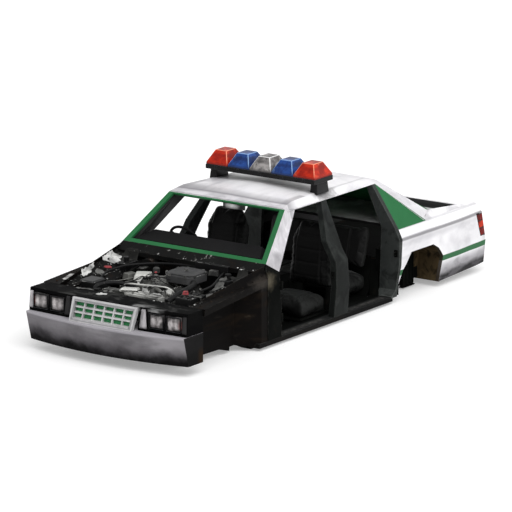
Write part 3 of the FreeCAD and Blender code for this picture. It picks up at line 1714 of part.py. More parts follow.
def make_interior_mirror():
    """Interior mirror on a stem from the roof's brow."""
    face_height = screen_top_height - mirror_drop / 2
    glass = block(
        -mirror_width / 2, mirror_width / 2, mirror_station, mirror_station + mirror_wall,
        face_height - mirror_height / 2, face_height + mirror_height / 2,
    )
    stem = Part.makeCylinder(
        mirror_stem_radius, mirror_stem_length,
        Vector(0, mirror_station + mirror_wall / 2, face_height), Vector(0, 0, 1),
    )
    return joined([glass, stem]).cut(make_roof())


def make_front_seat():
    """Left front seat: rails, cushion and high backrest with a tapered head."""
    left = seat_centre_half - seat_width / 2
    right = seat_centre_half + seat_width / 2
    cushion = block(
        left, right, cushion_front_station, cushion_rear_station, cushion_bottom_height, cushion_top_height,
    )
    rail_gap = seat_width / 5
    rails = [
        block(
            seat_centre_half + side * rail_gap - seat_rail_height / 2,
            seat_centre_half + side * rail_gap + seat_rail_height / 2,
            cushion_front_station + rail_gap / 2, cushion_rear_station - rail_gap / 4,
            floor_height + floor_wall + seat_gap, cushion_bottom_height,
        )
        for side in (-1, 1)
    ]
    front = front_prism(
        [
            (left, cushion_bottom_height), (right, cushion_bottom_height), (right, back_shoulder_height),
            (seat_centre_half + back_head_width / 2, back_head_height),
            (seat_centre_half - back_head_width / 2, back_head_height), (left, back_shoulder_height),
        ],
        back_front_station - cut_overrun, back_front_station + back_wall + back_lean + cut_overrun,
    )
    lean = side_prism(
        [
            (back_front_station, cushion_bottom_height),
            (back_front_station + back_wall, cushion_bottom_height),
            (back_front_station + back_wall + back_lean, back_shoulder_height),
            (back_front_station + back_wall + back_lean, back_head_height),
            (back_front_station + back_lean + back_head_setback, back_head_height),
            (back_front_station + back_lean, back_shoulder_height),
        ],
        left - cut_overrun, right + cut_overrun,
    )
    return joined([cushion, front.common(lean)] + rails)


def make_rear_cushion():
    """Rear bench cushion, between the jambs and over the rising heel board."""
    rise = (boot_floor_height - floor_height) / (boot_floor_front_station - rail_rear_station)
    reach = rear_cushion_rear_station - rail_rear_station
    outline = [
        (rear_cushion_front_station, rear_cushion_bottom_height),
        (rail_rear_station, rear_cushion_bottom_height),
        (rear_cushion_rear_station, rear_cushion_bottom_height + reach * rise + seat_gap),
        (rear_cushion_rear_station, rear_cushion_top_height),
        (rear_cushion_front_station, rear_cushion_top_height),
    ]
    return side_prism(outline, -rear_seat_half, rear_seat_half).cut(make_floor_pan())


def make_rear_backrest():
    """Rear bench backrest, leaning against the parcel shelf's front edge."""
    backrest = side_prism(
        [
            (rear_cushion_rear_station + seat_gap - rear_back_wall, rear_cushion_top_height + seat_gap),
            (rear_cushion_rear_station + seat_gap, rear_cushion_top_height + seat_gap),
            (rear_back_top_station, shelf_height - shelf_wall - seat_gap),
            (rear_back_top_station - rear_back_wall, shelf_height - shelf_wall - seat_gap),
        ],
        -rear_seat_half, rear_seat_half,
    )
    return backrest.cut(make_heel_board()).cut(make_rear_jambs()).cut(make_parcel_shelf())


def make_light_bar_base():
    """Black rail of the light bar on two tapered feet."""
    rail = block(-bar_half, bar_half, bar_front_station, bar_rear_station, bar_bottom_height, bar_top_height)
    low = roof_rear_height
    low_inner = bar_foot_half - bar_foot_width / 2 - bar_foot_flare
    low_outer = bar_foot_half + bar_foot_width / 2 + bar_foot_flare
    foot = loft([
        [
            (low_inner, bar_foot_front_station - bar_foot_flare, low),
            (low_outer, bar_foot_front_station - bar_foot_flare, low),
            (low_outer, bar_foot_rear_station + bar_foot_flare, low),
            (low_inner, bar_foot_rear_station + bar_foot_flare, low),
        ],
        [
            (bar_foot_half - bar_foot_width / 2, bar_foot_front_station, bar_bottom_height),
            (bar_foot_half + bar_foot_width / 2, bar_foot_front_station, bar_bottom_height),
            (bar_foot_half + bar_foot_width / 2, bar_foot_rear_station, bar_bottom_height),
            (bar_foot_half - bar_foot_width / 2, bar_foot_rear_station, bar_bottom_height),
        ],
    ])
    base = joined([rail, foot, mirrored(foot)])
    return base.cut(make_roof())


def make_beacon(index):
    """One lens of the light bar: an upright skirt below a tapered cap."""
    pitch = bar_half * 2 / beacon_count
    centre = (index - (beacon_count - 1) / 2) * pitch
    half_across = (pitch - beacon_gap) / 2
    half_along = (bar_rear_station - bar_front_station) / 2 - beacon_gap
    middle = (bar_front_station + bar_rear_station) / 2

    def ring(share, height):
        return [
            (centre - half_across * share, middle - half_along * share, height),
            (centre + half_across * share, middle - half_along * share, height),
            (centre + half_across * share, middle + half_along * share, height),
            (centre - half_across * share, middle + half_along * share, height),
        ]
    bottom = bar_top_height + seat_gap
    knee = bar_top_height + beacon_skirt
    skirt = loft([ring(1, bottom), ring(1, knee)])
    cap = loft([ring(1, knee), ring(beacon_top_share, bar_top_height + beacon_height)])
    return joined([skirt, cap])


def save(node, shape):
    """Write one piece, moved so that the origin lies under the middle of the whole car."""
    placed = shape.copy()
    placed.translate(Vector(0, -overall_length / 2, 0))
    placed.exportStep("parts/" + node + ".step")


def main():
    """Make and write every piece."""
    os.makedirs("parts", exist_ok=True)
    quarter = make_quarter_panel().cut(tail_lamp_body())
    seat = make_front_seat()
    pieces = {
        "frame_rails": make_frame_rails(),
        "front_subframe": make_front_subframe(),
        "rear_subframe": make_rear_subframe(),
        "floor_pan": make_floor_pan(),
        "heel_board": make_heel_board(),
        "sills": make_sills(),
        "firewall": make_firewall(),
        "cowl": make_cowl(),
        "a_pillars": make_a_pillars(),
        "hinge_posts": make_hinge_posts(),
        "windscreen_trim": make_windscreen_trim(),
        "roof_panel": make_roof(),
        "b_pillars": make_b_pillars(),
        "rear_jambs": make_rear_jambs(),
        "quarter_panel_left": quarter,
        "quarter_panel_right": mirrored(quarter),
        "window_blanks": Part.makeCompound([make_quarter_blanks(), make_back_window_blank()]),
        "parcel_shelf": make_parcel_shelf(),
        "boot_floor": make_boot_floor(),
        "wheelhouses": make_wheelhouses(),
        "tail_panel": make_tail_panel(),
        "tail_lamps": make_tail_lamps(),
        "rear_bumper": make_rear_bumper(),
        "front_bumper": make_front_bumper(),
        "nose_panel": make_nose_panel(),
        "headlamps": make_headlamps(),
        "grille": make_grille(),
        "grille_backing": make_grille_backing(),
        "inner_wings": pair(make_inner_wing()),
        "radiator": make_radiator(),
        "engine": make_engine(),
        "intake_manifold": make_intake(),
        "air_cleaner": make_air_cleaner(),
        "battery": make_battery(),
        "brake_servo": make_brake_servo(),
        "reservoirs": make_reservoirs(),
        "fuse_box": make_fuse_box(),
        "heater_box": make_heater_box(),
        "rocker_covers": make_rocker_covers(),
        "fan_shroud": make_fan_shroud(),
        "bay_shelves": make_bay_shelves(),
        "dashboard": make_dashboard(),
        "steering_column": make_steering_column(),
        "steering_wheel": make_steering_wheel(),
        "interior_mirror": make_interior_mirror(),
        "front_seat_left": seat,
        "front_seat_right": mirrored(seat),
        "rear_seat_cushion": make_rear_cushion(),
        "rear_seat_back": make_rear_backrest(),
        "light_bar_base": make_light_bar_base(),
        "beacons_red": Part.makeCompound([make_beacon(0), make_beacon(beacon_count - 1)]),
        "beacons_blue": Part.makeCompound([make_beacon(1), make_beacon(beacon_count - 2)]),
        "beacon_clear": make_beacon(beacon_count // 2),
    }
    for node, shape in pieces.items():
        save(node, shape)
        print(node, len(shape.Solids), shape.isValid(), round(shape.Volume / 1e6, 2))


main()
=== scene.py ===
import math
import random

import bmesh
import bpy
from mathutils import Euler, Matrix, Vector, noise
from mathutils.bvhtree import BVHTree


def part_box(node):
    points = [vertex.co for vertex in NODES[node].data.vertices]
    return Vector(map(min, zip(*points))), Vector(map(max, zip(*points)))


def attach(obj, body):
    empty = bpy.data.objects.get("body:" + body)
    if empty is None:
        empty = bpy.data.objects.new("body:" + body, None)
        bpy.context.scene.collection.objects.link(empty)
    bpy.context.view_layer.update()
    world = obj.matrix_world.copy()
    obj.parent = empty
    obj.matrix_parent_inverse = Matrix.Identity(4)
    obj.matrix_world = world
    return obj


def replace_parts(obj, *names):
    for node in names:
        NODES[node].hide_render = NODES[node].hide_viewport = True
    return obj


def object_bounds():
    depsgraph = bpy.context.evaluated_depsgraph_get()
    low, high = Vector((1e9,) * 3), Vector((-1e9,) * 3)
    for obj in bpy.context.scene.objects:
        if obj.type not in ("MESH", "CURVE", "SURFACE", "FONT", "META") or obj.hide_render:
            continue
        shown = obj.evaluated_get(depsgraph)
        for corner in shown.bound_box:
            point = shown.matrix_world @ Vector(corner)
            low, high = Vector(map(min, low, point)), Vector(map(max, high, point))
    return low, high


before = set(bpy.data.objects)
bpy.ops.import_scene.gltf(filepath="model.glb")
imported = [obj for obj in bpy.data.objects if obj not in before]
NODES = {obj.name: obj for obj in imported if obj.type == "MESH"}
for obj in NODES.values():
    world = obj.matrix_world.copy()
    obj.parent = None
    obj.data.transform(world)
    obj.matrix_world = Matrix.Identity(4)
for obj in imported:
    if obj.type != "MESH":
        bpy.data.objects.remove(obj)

# Looks of a stripped and burnt patrol car, built round its imported model.
# Lengths are in metres. +X is the car's left, -Y its nose and +Z up, and every piece keeps its
# place in its mesh, so that soot, rust, stripes, painted shade and painted highlights are laid by where they
# are on the car.

CAD_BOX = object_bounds()
NOSE_Y = CAD_BOX[0][1]
SIDES = (-1, 1)
UP, DOWN = (0.0, 0.0, 1.0), (0.0, 0.0, -1.0)
REARWARDS, FORWARDS = (0.0, 1.0, 0.0), (0.0, -1.0, 0.0)
LEFT, RIGHT = (1.0, 0.0, 0.0), (-1.0, 0.0, 0.0)


def middle_of(node):
    """The middle of a CAD node's box."""
    low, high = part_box(node)
    return (Vector(low) + Vector(high)) / 2


# Shader nodes

def seen(colour):
    """A colour as the eye reads it, one grey or three tones from 0 to 255, as light."""
    tones = (colour,) * 3 if isinstance(colour, int) else colour
    shares = [tone / 255 for tone in tones]
    return (*(
        share / 12.92 if share <= 0.04045 else ((share + 0.055) / 1.055) ** 2.4 for share in shares
    ), 1.0)


def feed(tree, socket, source):
    """Gives a socket a plain value, or another node's output."""
    if isinstance(source, bpy.types.NodeSocket):
        tree.links.new(source, socket)
    else:
        socket.default_value = source


def add_node(tree, kind, inputs=(), output=0, **settings):
    """Adds a shader node with its settings and inputs; returns one of its outputs."""
    node = tree.nodes.new("ShaderNode" + kind)
    for label, value in settings.items():
        setattr(node, label, value)
    for slot, source in inputs.items() if isinstance(inputs, dict) else enumerate(inputs):
        feed(tree, node.inputs[slot], source)
    return node.outputs[output]


def number(tree, operation, *terms):
    return add_node(tree, "Math", terms, operation=operation)


def times(tree, first, second):
    return number(tree, "MULTIPLY", first, second)


def less(tree, first, second):
    return number(tree, "SUBTRACT", first, second)


def plus(tree, first, second):
    return number(tree, "ADD", first, second)


def places(tree, operation, *terms, output="Vector"):
    """A calculation with places or directions."""
    return add_node(tree, "VectorMath", terms, output, operation=operation)


def soft_step(tree, value, low, high):
    """0 below low, 1 above high and smooth between them."""
    ends = {"Value": value, "From Min": low, "From Max": high}
    return add_node(tree, "MapRange", ends, "Result", interpolation_type="SMOOTHSTEP")


def step_about(tree, value, edge, soft):
    return soft_step(tree, value, less(tree, edge, soft), plus(tree, edge, soft))


def place_on_car(tree):
    """The point's place on the car, in metres."""
    return add_node(tree, "TexCoord", output="Object")


def surface_way(tree, label="True Normal"):
    return add_node(tree, "NewGeometry", output=label)


def share_of(tree, source, axis):
    return add_node(tree, "SeparateXYZ", (source,), axis)


def noise_at(tree, place, size, detail, roughness=0.6, distortion=0.0):
    return add_node(tree, "TexNoise", {
        "Vector": place, "Scale": size, "Detail": detail, "Roughness": roughness, "Distortion": distortion,
    }, "Fac")


# Shared effects, each a node group

EFFECTS = {}


def effect(output="Mask", **inputs):
    """Makes a node group of a function that turns a tree's inputs into one output."""
    def build(maker):
        group = bpy.data.node_groups.new(maker.__name__, "ShaderNodeTree")
        for label, default in inputs.items():
            kind = "NodeSocketVector" if isinstance(default, tuple) else "NodeSocketFloat"
            group.interface.new_socket(label, in_out="INPUT", socket_type=kind).default_value = default
        group.interface.new_socket(output, in_out="OUTPUT", socket_type="NodeSocketFloat")
        given, result = group.nodes.new("NodeGroupInput"), group.nodes.new("NodeGroupOutput")
        feed(group, result.inputs[output], maker(group, *(given.outputs[label] for label in inputs)))
        EFFECTS[maker.__name__] = group
        return maker
    return build


@effect(Size=2.0, Cover=0.5, Softness=0.15, Stretch=(1.0, 1.0, 1.0))
def smoke_clouds(tree, size, cover, softness, stretch):
    """Soft drifts of soot: Cover is how much they fill, and a high Stretch makes them short."""
    drift = noise_at(tree, places(tree, "MULTIPLY", place_on_car(tree), stretch), size, 5.0, 0.58, 0.6)
    return step_about(tree, drift, less(tree, 1.0, cover), softness)


@effect(Along=UP, Low=0.0, High=1.0, Soft=0.02, Ragged=0.0, Size=6.0)
def reach_band(tree, along, low, high, soft, ragged, size):
    """1 from Low to High along a direction, with a soft and ragged edge."""
    place = place_on_car(tree)
    wobble = times(tree, less(tree, noise_at(tree, place, size, 5.0), 0.5), ragged)
    reach = plus(tree, places(tree, "DOT_PRODUCT", place, along, output="Value"), wobble)
    rise, fall = (step_about(tree, reach, end, soft) for end in (low, high))
    return times(tree, rise, less(tree, 1.0, fall))


@effect(Size=18.0, Cover=0.4)
def ash_flakes(tree, size, cover):
    """Irregular flakes and smears of pale ash that lie on what faces up."""
    place = place_on_car(tree)
    flake = noise_at(tree, place, size, 3.0, 0.7, 1.6)
    drift = noise_at(tree, place, times(tree, size, 0.22), 3.0, 0.55, 0.4)
    both = plus(tree, times(tree, flake, 0.55), times(tree, drift, 0.45))
    edge = less(tree, 1.0, cover)
    smear = soft_step(tree, both, less(tree, edge, 0.03), plus(tree, edge, 0.05))
    return times(tree, smear, soft_step(tree, share_of(tree, surface_way(tree, "Normal"), "Z"), 0.1, 0.7))


@effect("Height", Size=120.0, Coarse=0.3)
def fine_grain(tree, size, coarse):
    """Fine unevenness for bump, with a coarser one under it."""
    place = place_on_car(tree)
    fine = noise_at(tree, place, size, 3.0)
    return number(tree, "MULTIPLY_ADD", noise_at(tree, place, times(tree, size, 0.12), 3.0), coarse, fine)


@effect(Amount=0.5, Size=14.0, Width=0.005, Broken=1.0)
def worn_edges(tree, amount, size, width, broken):
    """1 along edges, broken up by noise; Width is how far from an edge the wear reaches."""
    rounded = add_node(tree, "Bevel", {"Radius": width}, samples=4)
    turn = places(tree, "DOT_PRODUCT", rounded, surface_way(tree, "Normal"), output="Value")
    edge = soft_step(tree, less(tree, 1.0, turn), 0.01, 0.12)
    gap = soft_step(tree, noise_at(tree, place_on_car(tree), size, 4.0), 0.62, 0.42)
    return times(tree, times(tree, edge, less(tree, 1.0, times(tree, gap, broken))), amount)


@effect(Way=UP, From=0.3, To=0.6)
def facing(tree, way, low, high):
    """1 where the surface looks the Way given, from one cosine to another."""
    return soft_step(tree, places(tree, "DOT_PRODUCT", surface_way(tree), way, output="Value"), low, high)


@effect(From=0.2, To=0.45)
def facing_middle(tree, low, high):
    """1 where the surface looks towards the car's middle plane."""
    side = number(tree, "SIGN", times(tree, share_of(tree, place_on_car(tree), "X"), -1.0))
    return soft_step(tree, times(tree, share_of(tree, surface_way(tree), "X"), side), low, high)


@effect(Centre=(0.0, 0.0, 0.0), Reach=(0.1, 0.1, 0.1), Core=0.2, Ragged=0.0)
def soft_spot(tree, centre, reach, core, ragged):
    """1 at Centre, fading to 0 at Reach from it, which may differ in each direction."""
    place = place_on_car(tree)
    share = places(tree, "DIVIDE", places(tree, "SUBTRACT", place, centre), reach)
    away = places(tree, "LENGTH", share, output="Value")
    wobble = less(tree, noise_at(tree, place, 22.0, 3.0), 0.5)
    return less(tree, 1.0, soft_step(tree, number(tree, "MULTIPLY_ADD", wobble, ragged, away), core, 1.0))


# Masks and finishes

class Mask:
    """Where a layer lies: * is where two masks both lie, | where either does and ~ where one doesn't."""

    def __init__(self, build):
        self.build = build
        self.tree = self.socket = None

    def on(self, tree):
        """The mask's output in a tree, made at its first use there."""
        if self.tree != tree:
            self.tree, self.socket = tree, self.build(tree)
        return self.socket

    def __mul__(self, other):
        return Mask(lambda tree: times(tree, self.on(tree), other.on(tree)))

    def __or__(self, other):
        return Mask(lambda tree: number(tree, "MAXIMUM", self.on(tree), other.on(tree)))

    def __invert__(self):
        return Mask(lambda tree: less(tree, 1.0, self.on(tree)))


def use(name, **values):
    """A shared effect with its values, as a mask."""
    return Mask(lambda tree: add_node(tree, "Group", values, node_tree=EFFECTS[name]))


def smoke(size, cover, softness, stretch=(1.0, 1.0, 1.0)):
    return use("smoke_clouds", Size=size, Cover=cover, Softness=softness, Stretch=stretch)


def band(along, low, high, soft, ragged=0.0, size=6.0):
    return use("reach_band", Along=along, Low=low, High=high, Soft=soft, Ragged=ragged, Size=size)


def looking(way, low=0.3, high=0.6):
    return use("facing", Way=way, From=low, To=high)


def patch(centre, reach, core, ragged):
    return use("soft_spot", Centre=centre, Reach=reach, Core=core, Ragged=ragged)


def worn(amount, **values):
    return use("worn_edges", Amount=amount, **values)


def flakes(size, cover):
    return use("ash_flakes", Size=size, Cover=cover)


def finish(name, colour, roughness, layers, grain, metallic=0.0, **sockets):
    """A material: a base, with layers of mask, colour, roughness and, if not whole, strength over it.

    The grain, where there is one, is its size, its depth in metres and how coarse it is.
    """
    material = bpy.data.materials.new(name)
    material.use_nodes = True
    tree = material.node_tree
    shader = tree.nodes["Principled BSDF"].inputs
    colour = material.diffuse_color = seen(colour)
    for label, value in (("Base Color", colour), ("Roughness", roughness), ("Metallic", metallic)):
        shader[label].default_value = value
    for mask, over, rougher, *strength in layers:
        amount = times(tree, mask.on(tree), *strength) if strength else mask.on(tree)
        colour = add_node(tree, "Mix", {0: amount, 6: colour, 7: seen(over)}, 2, data_type="RGBA")
        roughness = add_node(tree, "Mix", {0: amount, 2: roughness, 3: rougher})
    feed(tree, shader["Base Color"], colour)
    feed(tree, shader["Roughness"], roughness)
    if grain:
        size, depth, *coarse = grain
        height = use("fine_grain", Size=size, Coarse=coarse[0] if coarse else 0.3).on(tree)
        bump = {"Height": height, "Distance": depth, "Strength": 1.0}
        feed(tree, shader["Normal"], add_node(tree, "Bump", bump))
    for label, value in sockets.items():
        shader[label.replace("_", " ")].default_value = value
    return material


FAR = 9.0
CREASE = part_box("roof_panel")[0][1] + 0.085
BAR_MIDDLE = (0.0, middle_of("light_bar_base").y, 1.27)
ROOF_EDGE_WAY = 0.0887
STRIPE_LOW, STRIPE_HIGH = 0.275, 0.331
FOOT_LINE = (0.0, -0.055, 1.0)
LAMP_HALVES = (0.5775, 0.7755)
LAMP_HEIGHT = 0.4995
LAMP_STATION = 0.16
ARCH_MIDDLE = middle_of("wheelhouses").y
GRILLE_ROW_SILLS = (0.422, 0.474, 0.526)
INWARDS = use("facing_middle")
OUTWARDS = looking(LEFT, 0.6, 0.8) | looking(RIGHT, 0.6, 0.8)

WHITE, WHITE_ROUGHNESS, WHITE_GRAIN = (250, 249, 251), 0.36, (260.0, 0.0002, 0.6)
WHITE_CLOUDS = (
    (smoke(1.1, 0.47, 0.17, (1.0, 0.8, 1.2)), (206, 204, 209), 0.45, 0.8),
    (smoke(2.9, 0.38, 0.13, (1.0, 0.6, 1.0)), (158, 156, 161), 0.55, 0.5),
    (smoke(0.8, 0.38, 0.06, (6.0, 0.7, 6.0)), (176, 174, 179), 0.55, 0.3),
)


def roof_white():
    """Roof and pillars: a grey front lip with painted shade in the crease behind it and along the side
    creases, and painted shade under the light bar and round its feet.
    """
    lip = band(REARWARDS, -FAR, CREASE, 0.02)
    crease_shade_fade = ~band(REARWARDS, CREASE + 0.09, FAR, 0.085, 0.08, 4.0)
    top = looking(UP, 0.8, 0.9)
    front = band(REARWARDS, CREASE, CREASE + 0.36, 0.02)
    layers = [
        *WHITE_CLOUDS,
        (patch((0.16, CREASE + 0.32, 1.27), (0.6, 0.24, 0.3), 0.2, 0.4), (252, 251, 253), 0.4, 0.8),
        # Painted shade behind the front crease, fading towards the rear
        (band(REARWARDS, CREASE, FAR, 0.012) * crease_shade_fade, (136, 134, 139), 0.5, 0.75),
        # Painted shade behind the crease at the car's right
        (patch((-0.5, CREASE + 0.06, 1.25), (0.4, 0.2, 0.2), 0.1, 0.4), (126, 124, 129), 0.5, 0.6),
        (band(REARWARDS, -FAR, CREASE, 0.012, 0.02, 9.0), (206, 203, 208), 0.5, 0.7),
        (smoke(1.6, 0.42, 0.1, (5.0, 1.0, 1.0)), (168, 166, 170), 0.5, 0.14),
        (lip * smoke(5.0, 0.5, 0.14, (1.0, 1.5, 1.0)), (138, 136, 141), 0.55, 0.45),
        # Painted shade along the crease line itself
        (top * band(REARWARDS, CREASE - 0.004, CREASE + 0.02, 0.02, 0.012), (108, 106, 111), 0.5, 0.75),
    ]
    for side in SIDES:
        out = (side, ROOF_EDGE_WAY, 0.0)
        pillar_foot = (side * 0.83, NOSE_Y + 1.75, 0.85)
        layers += [
            # Painted shade along each side crease and inside it towards the front
            (top * band(out, 0.606, 0.63, 0.012, 0.01), (128, 126, 130), 0.5, 0.4),
            (top * band(out, 0.53, 0.618, 0.03, 0.03) * front, (120, 118, 123), 0.5, 0.5),
            (patch(pillar_foot, (0.1, 0.09, 0.07), 0.1, 0.5), (122, 120, 124), 0.6, 0.6),
        ]
    # Painted shade under the light bar
    layers.append((patch(BAR_MIDDLE, (0.86, 0.22, 0.3), 0.3, 0.5), (112, 110, 113), 0.6, 0.4))
    # Painted shadow round each foot of the light bar
    for side in SIDES:
        bar_foot = (side * 0.6, BAR_MIDDLE[1] + 0.05, BAR_MIDDLE[2])
        layers.append((patch(bar_foot, (0.17, 0.26, 0.3), 0.2, 0.6), (46, 44, 47), 0.6, 0.75))
    layers += [
        (band(UP, -0.5, 0.84, 0.05, 0.06, 5.0), (120, 118, 122), 0.75, 0.45),
        (INWARDS | looking(REARWARDS, 0.5, 0.7), (10, 10, 11), 0.85, 0.98),
        (looking(DOWN), (30, 31, 31), 0.85, 0.98),
        (worn(0.5), (252, 252, 253), 0.5),
    ]
    return finish(
        "roof_white", WHITE, WHITE_ROUGHNESS, layers, WHITE_GRAIN, Coat_Weight=0.15, Coat_Roughness=0.3,
    )


def flank_white():
    """Body sides: white over a green stripe, black soot along the foot, and painted shade on and under the
    shoulder crease below the fin and in a thin line above it.
    """
    fin = band(UP, 0.69, 2.0, 0.004) * band(REARWARDS, NOSE_Y + 4.3, FAR, 0.02)
    boot_end = looking(FORWARDS) * band(REARWARDS, NOSE_Y + 5.0, FAR, 0.01)
    arch = band(UP, -0.5, 0.5, 0.02) * band(REARWARDS, NOSE_Y + 3.8, NOSE_Y + 4.8, 0.02)
    foot_smoke = band(UP, -0.5, 0.26, 0.02) * smoke(6.0, 0.42, 0.1, (1.0, 0.6, 1.6))
    return finish("flank_white", WHITE, WHITE_ROUGHNESS, [
        *WHITE_CLOUDS,
        (band(UP, -0.5, 0.255, 0.05, 0.1, 3.0), (186, 184, 189), 0.6, 0.7),
        (band(UP, STRIPE_LOW, STRIPE_HIGH, 0.0012, 0.002, 30.0), (26, 94, 50), 0.5),
        # Painted shade on and under the shoulder crease
        (band(UP, 0.616, 0.648, 0.009, 0.005), (98, 96, 100), 0.5, 0.8),
        (band(UP, 0.56, 0.62, 0.03, 0.03), (170, 168, 173), 0.5, 0.4),
        # Painted shade line at the upper crease
        (band(UP, 0.72, 0.74, 0.008, 0.006), (160, 158, 163), 0.5, 0.45),
        (looking(UP, 0.5, 0.8) * smoke(3.2, 0.48, 0.14), (150, 148, 153), 0.55, 0.5),
        (band(FOOT_LINE, -0.5, 0.1, 0.05, 0.1, 4.0), (124, 122, 126), 0.7, 0.6),
        (band(FOOT_LINE, -0.5, 0.036, 0.03, 0.05, 6.0), (14, 13, 14), 0.8, 0.96),
        (foot_smoke, (104, 102, 106), 0.6, 0.6),
        (looking(DOWN) | INWARDS * ~fin, (30, 30, 31), 0.85, 0.98),
        (boot_end, 48, 0.85, 0.98),
        (worn(0.4), (252, 252, 253), 0.5),
        (arch * ~OUTWARDS, (44, 36, 26), 0.85, 0.95),
    ], WHITE_GRAIN, Coat_Weight=0.06, Coat_Roughness=0.3, Specular_IOR_Level=0.2)


def smoked_bumper_plastic():
    """Grey bumper skin with a painted highlight along its top lip, black below and round its ends."""
    ends = looking(LEFT, 0.75, 0.9) | looking(RIGHT, 0.75, 0.9)
    heel = band(REARWARDS, NOSE_Y + 0.36, NOSE_Y + 0.6, 0.03) * band(UP, -0.5, 0.23, 0.04, 0.1)
    return finish("smoked_bumper_plastic", (150, 147, 151), 0.5, [
        (smoke(1.7, 0.5, 0.2, (0.6, 1.0, 1.8)), (112, 109, 113), 0.5, 0.85),
        (smoke(3.6, 0.42, 0.14, (0.6, 1.0, 1.6)), (84, 82, 85), 0.55, 0.5),
        # Painted highlight along the top lip
        (band(UP, 0.378, 0.6, 0.01, 0.006), (178, 175, 181), 0.38, 0.8),
        (band(UP, -0.5, 0.27, 0.09, 0.26, 2.2), (76, 73, 77), 0.7, 0.75),
        (band(UP, -0.5, 0.205, 0.055, 0.22, 3.0), (34, 32, 34), 0.75, 0.85),
        (band(UP, -0.5, 0.16, 0.035, 0.17, 4.0), (11, 10, 11), 0.8, 0.98),
        (smoke(6.0, 0.33, 0.1), (84, 82, 86), 0.6, 0.35),
        (ends | looking(DOWN), 10, 0.75, 0.98),
        (ends * heel, (44, 31, 20), 0.85, 0.7),
    ], (320.0, 0.00022, 0.8), Specular_IOR_Level=0.06)


def charred_steel(name="charred_steel", ash_cover=0.4, rust_cover=0.36, level=9):
    return finish(name, level, 0.55, [
        (smoke(2.0, 0.46, 0.12), (level + 18, level + 19, level + 18), 0.7, 0.7),
        (smoke(4.5, rust_cover, 0.08), (40, 29, 22), 0.85, 0.5),
        (flakes(9.0, ash_cover), (176, 176, 172), 0.8, 0.7),
        (worn(0.5), (104, 102, 98), 0.5),
    ], (150.0, 0.0006, 0.8), Specular_IOR_Level=0.05)


def cabin_steel(name="cabin_steel", edge=52):
    """Black steel with rubbed edges, and a painted pale sheen at the hinge posts' heads."""
    # Painted sheen at the head of each hinge post
    painted_sheens = [
        (patch((side * 0.905, NOSE_Y + 1.52, 0.655), (0.05, 0.14, 0.12), 0.02, 0.8), (104, 98, 84), 0.6, 0.6)
        for side in SIDES
    ]
    return finish(name, (8, 9, 8), 0.75, [
        (smoke(1.6, 0.46, 0.16), (20, 21, 20), 0.8, 0.7),
        (smoke(6.0, 0.34, 0.08), (32, 28, 24), 0.85, 0.4),
        *painted_sheens,
        (worn(edge / 100), (edge, edge, edge - 3), 0.6),
    ], (150.0, 0.0006, 0.8), Specular_IOR_Level=0.02)


def burnt_wing_steel():
    """Inner wings: burnt black, with streaks of brown scale, bare torn edges and a painted sheen near each
    hinge post.
    """
    # Painted sheen near each hinge post
    painted_sheens = [
        (patch((side * 0.93, NOSE_Y + 1.4, 0.66), (0.3, 0.22, 0.09), 0.1, 0.9), (72, 67, 62), 0.5, 0.5)
        for side in SIDES
    ]
    return finish("burnt_wing_steel", (6, 5, 5), 0.55, [
        (smoke(1.5, 0.46, 0.14, (1.0, 0.6, 1.6)), (16, 14, 13), 0.65, 0.8),
        (smoke(2.6, 0.4, 0.09, (1.0, 0.45, 2.4)), (34, 27, 21), 0.8, 0.6),
        (smoke(7.0, 0.32, 0.06, (1.0, 0.5, 1.6)), (48, 45, 41), 0.8, 0.35),
        *painted_sheens,
        (smoke(4.0, 0.3, 0.05, (1.0, 0.8, 1.6)), (78, 72, 62), 0.8, 0.4),
        (worn(0.7), (78, 74, 68), 0.6),
    ], (120.0, 0.0007, 0.9), Specular_IOR_Level=0.03)


def door_jamb_grey(name="door_jamb_grey", level=54):
    """Pillars and jambs of the doors: smoked grey with darker mottles and rubbed edges."""
    return finish(name, (level, level + 3, level + 2), 0.5, [
        (smoke(1.6, 0.5, 0.18, (1.0, 1.0, 0.6)), (level - 15, level - 13, level - 14), 0.6, 0.85),
        (smoke(7.0, 0.42, 0.09, (1.0, 1.0, 0.7)), (level + 16, level + 19, level + 17), 0.5, 0.5),
        (smoke(5.5, 0.4, 0.08, (1.0, 1.6, 1.0)), (18, 19, 19), 0.7, 0.7),
        (smoke(15.0, 0.36, 0.07), (14, 15, 15), 0.7, 0.5),
        (worn(0.8, Broken=0.5, Width=0.012), (level + 50, level + 54, level + 51), 0.4),
    ], (200.0, 0.0003, 0.7), Specular_IOR_Level=0.08)


def charred_plastic(name="charred_plastic", level=8, ash_cover=0.38):
    return finish(name, (level, level, level + 1), 0.5, [
        (smoke(2.6, 0.45, 0.12), level + 18, 0.6, 0.7),
        (flakes(11.0, ash_cover), (140, 140, 138), 0.8, 0.6),
        (worn(0.6), (92, 91, 92), 0.45),
    ], (110.0, 0.0008, 1.0), Specular_IOR_Level=0.14)


def nose_plastic():
    """Burnt nose panel: black, with a few painted highlight streaks along the front edge at the car's left.
    """
    lip = band(UP, 0.575, 0.7, 0.01, 0.02, 5.0) * band(LEFT, 0.3, 0.62, 0.05, 0.16)
    highlight_streaks = smoke(3.4, 0.5, 0.05, (0.6, 3.0, 1.0)) * band(REARWARDS, -FAR, NOSE_Y + 0.24, 0.05, 0.16, 4.0)
    return finish("nose_plastic", (4, 4, 5), 0.7, [
        (smoke(1.8, 0.45, 0.12, (1.0, 1.0, 1.5)), 12, 0.7, 0.8),
        # Painted highlight streaks along the front edge
        (lip * highlight_streaks, 150, 0.5, 0.75),
        (looking(UP, 0.6, 0.9) * smoke(7.0, 0.4, 0.08, (0.8, 1.4, 1.0)), (66, 66, 65), 0.7, 0.6),
        (worn(0.5), 84, 0.6),
    ], (90.0, 0.0009, 1.0), Specular_IOR_Level=0.02)


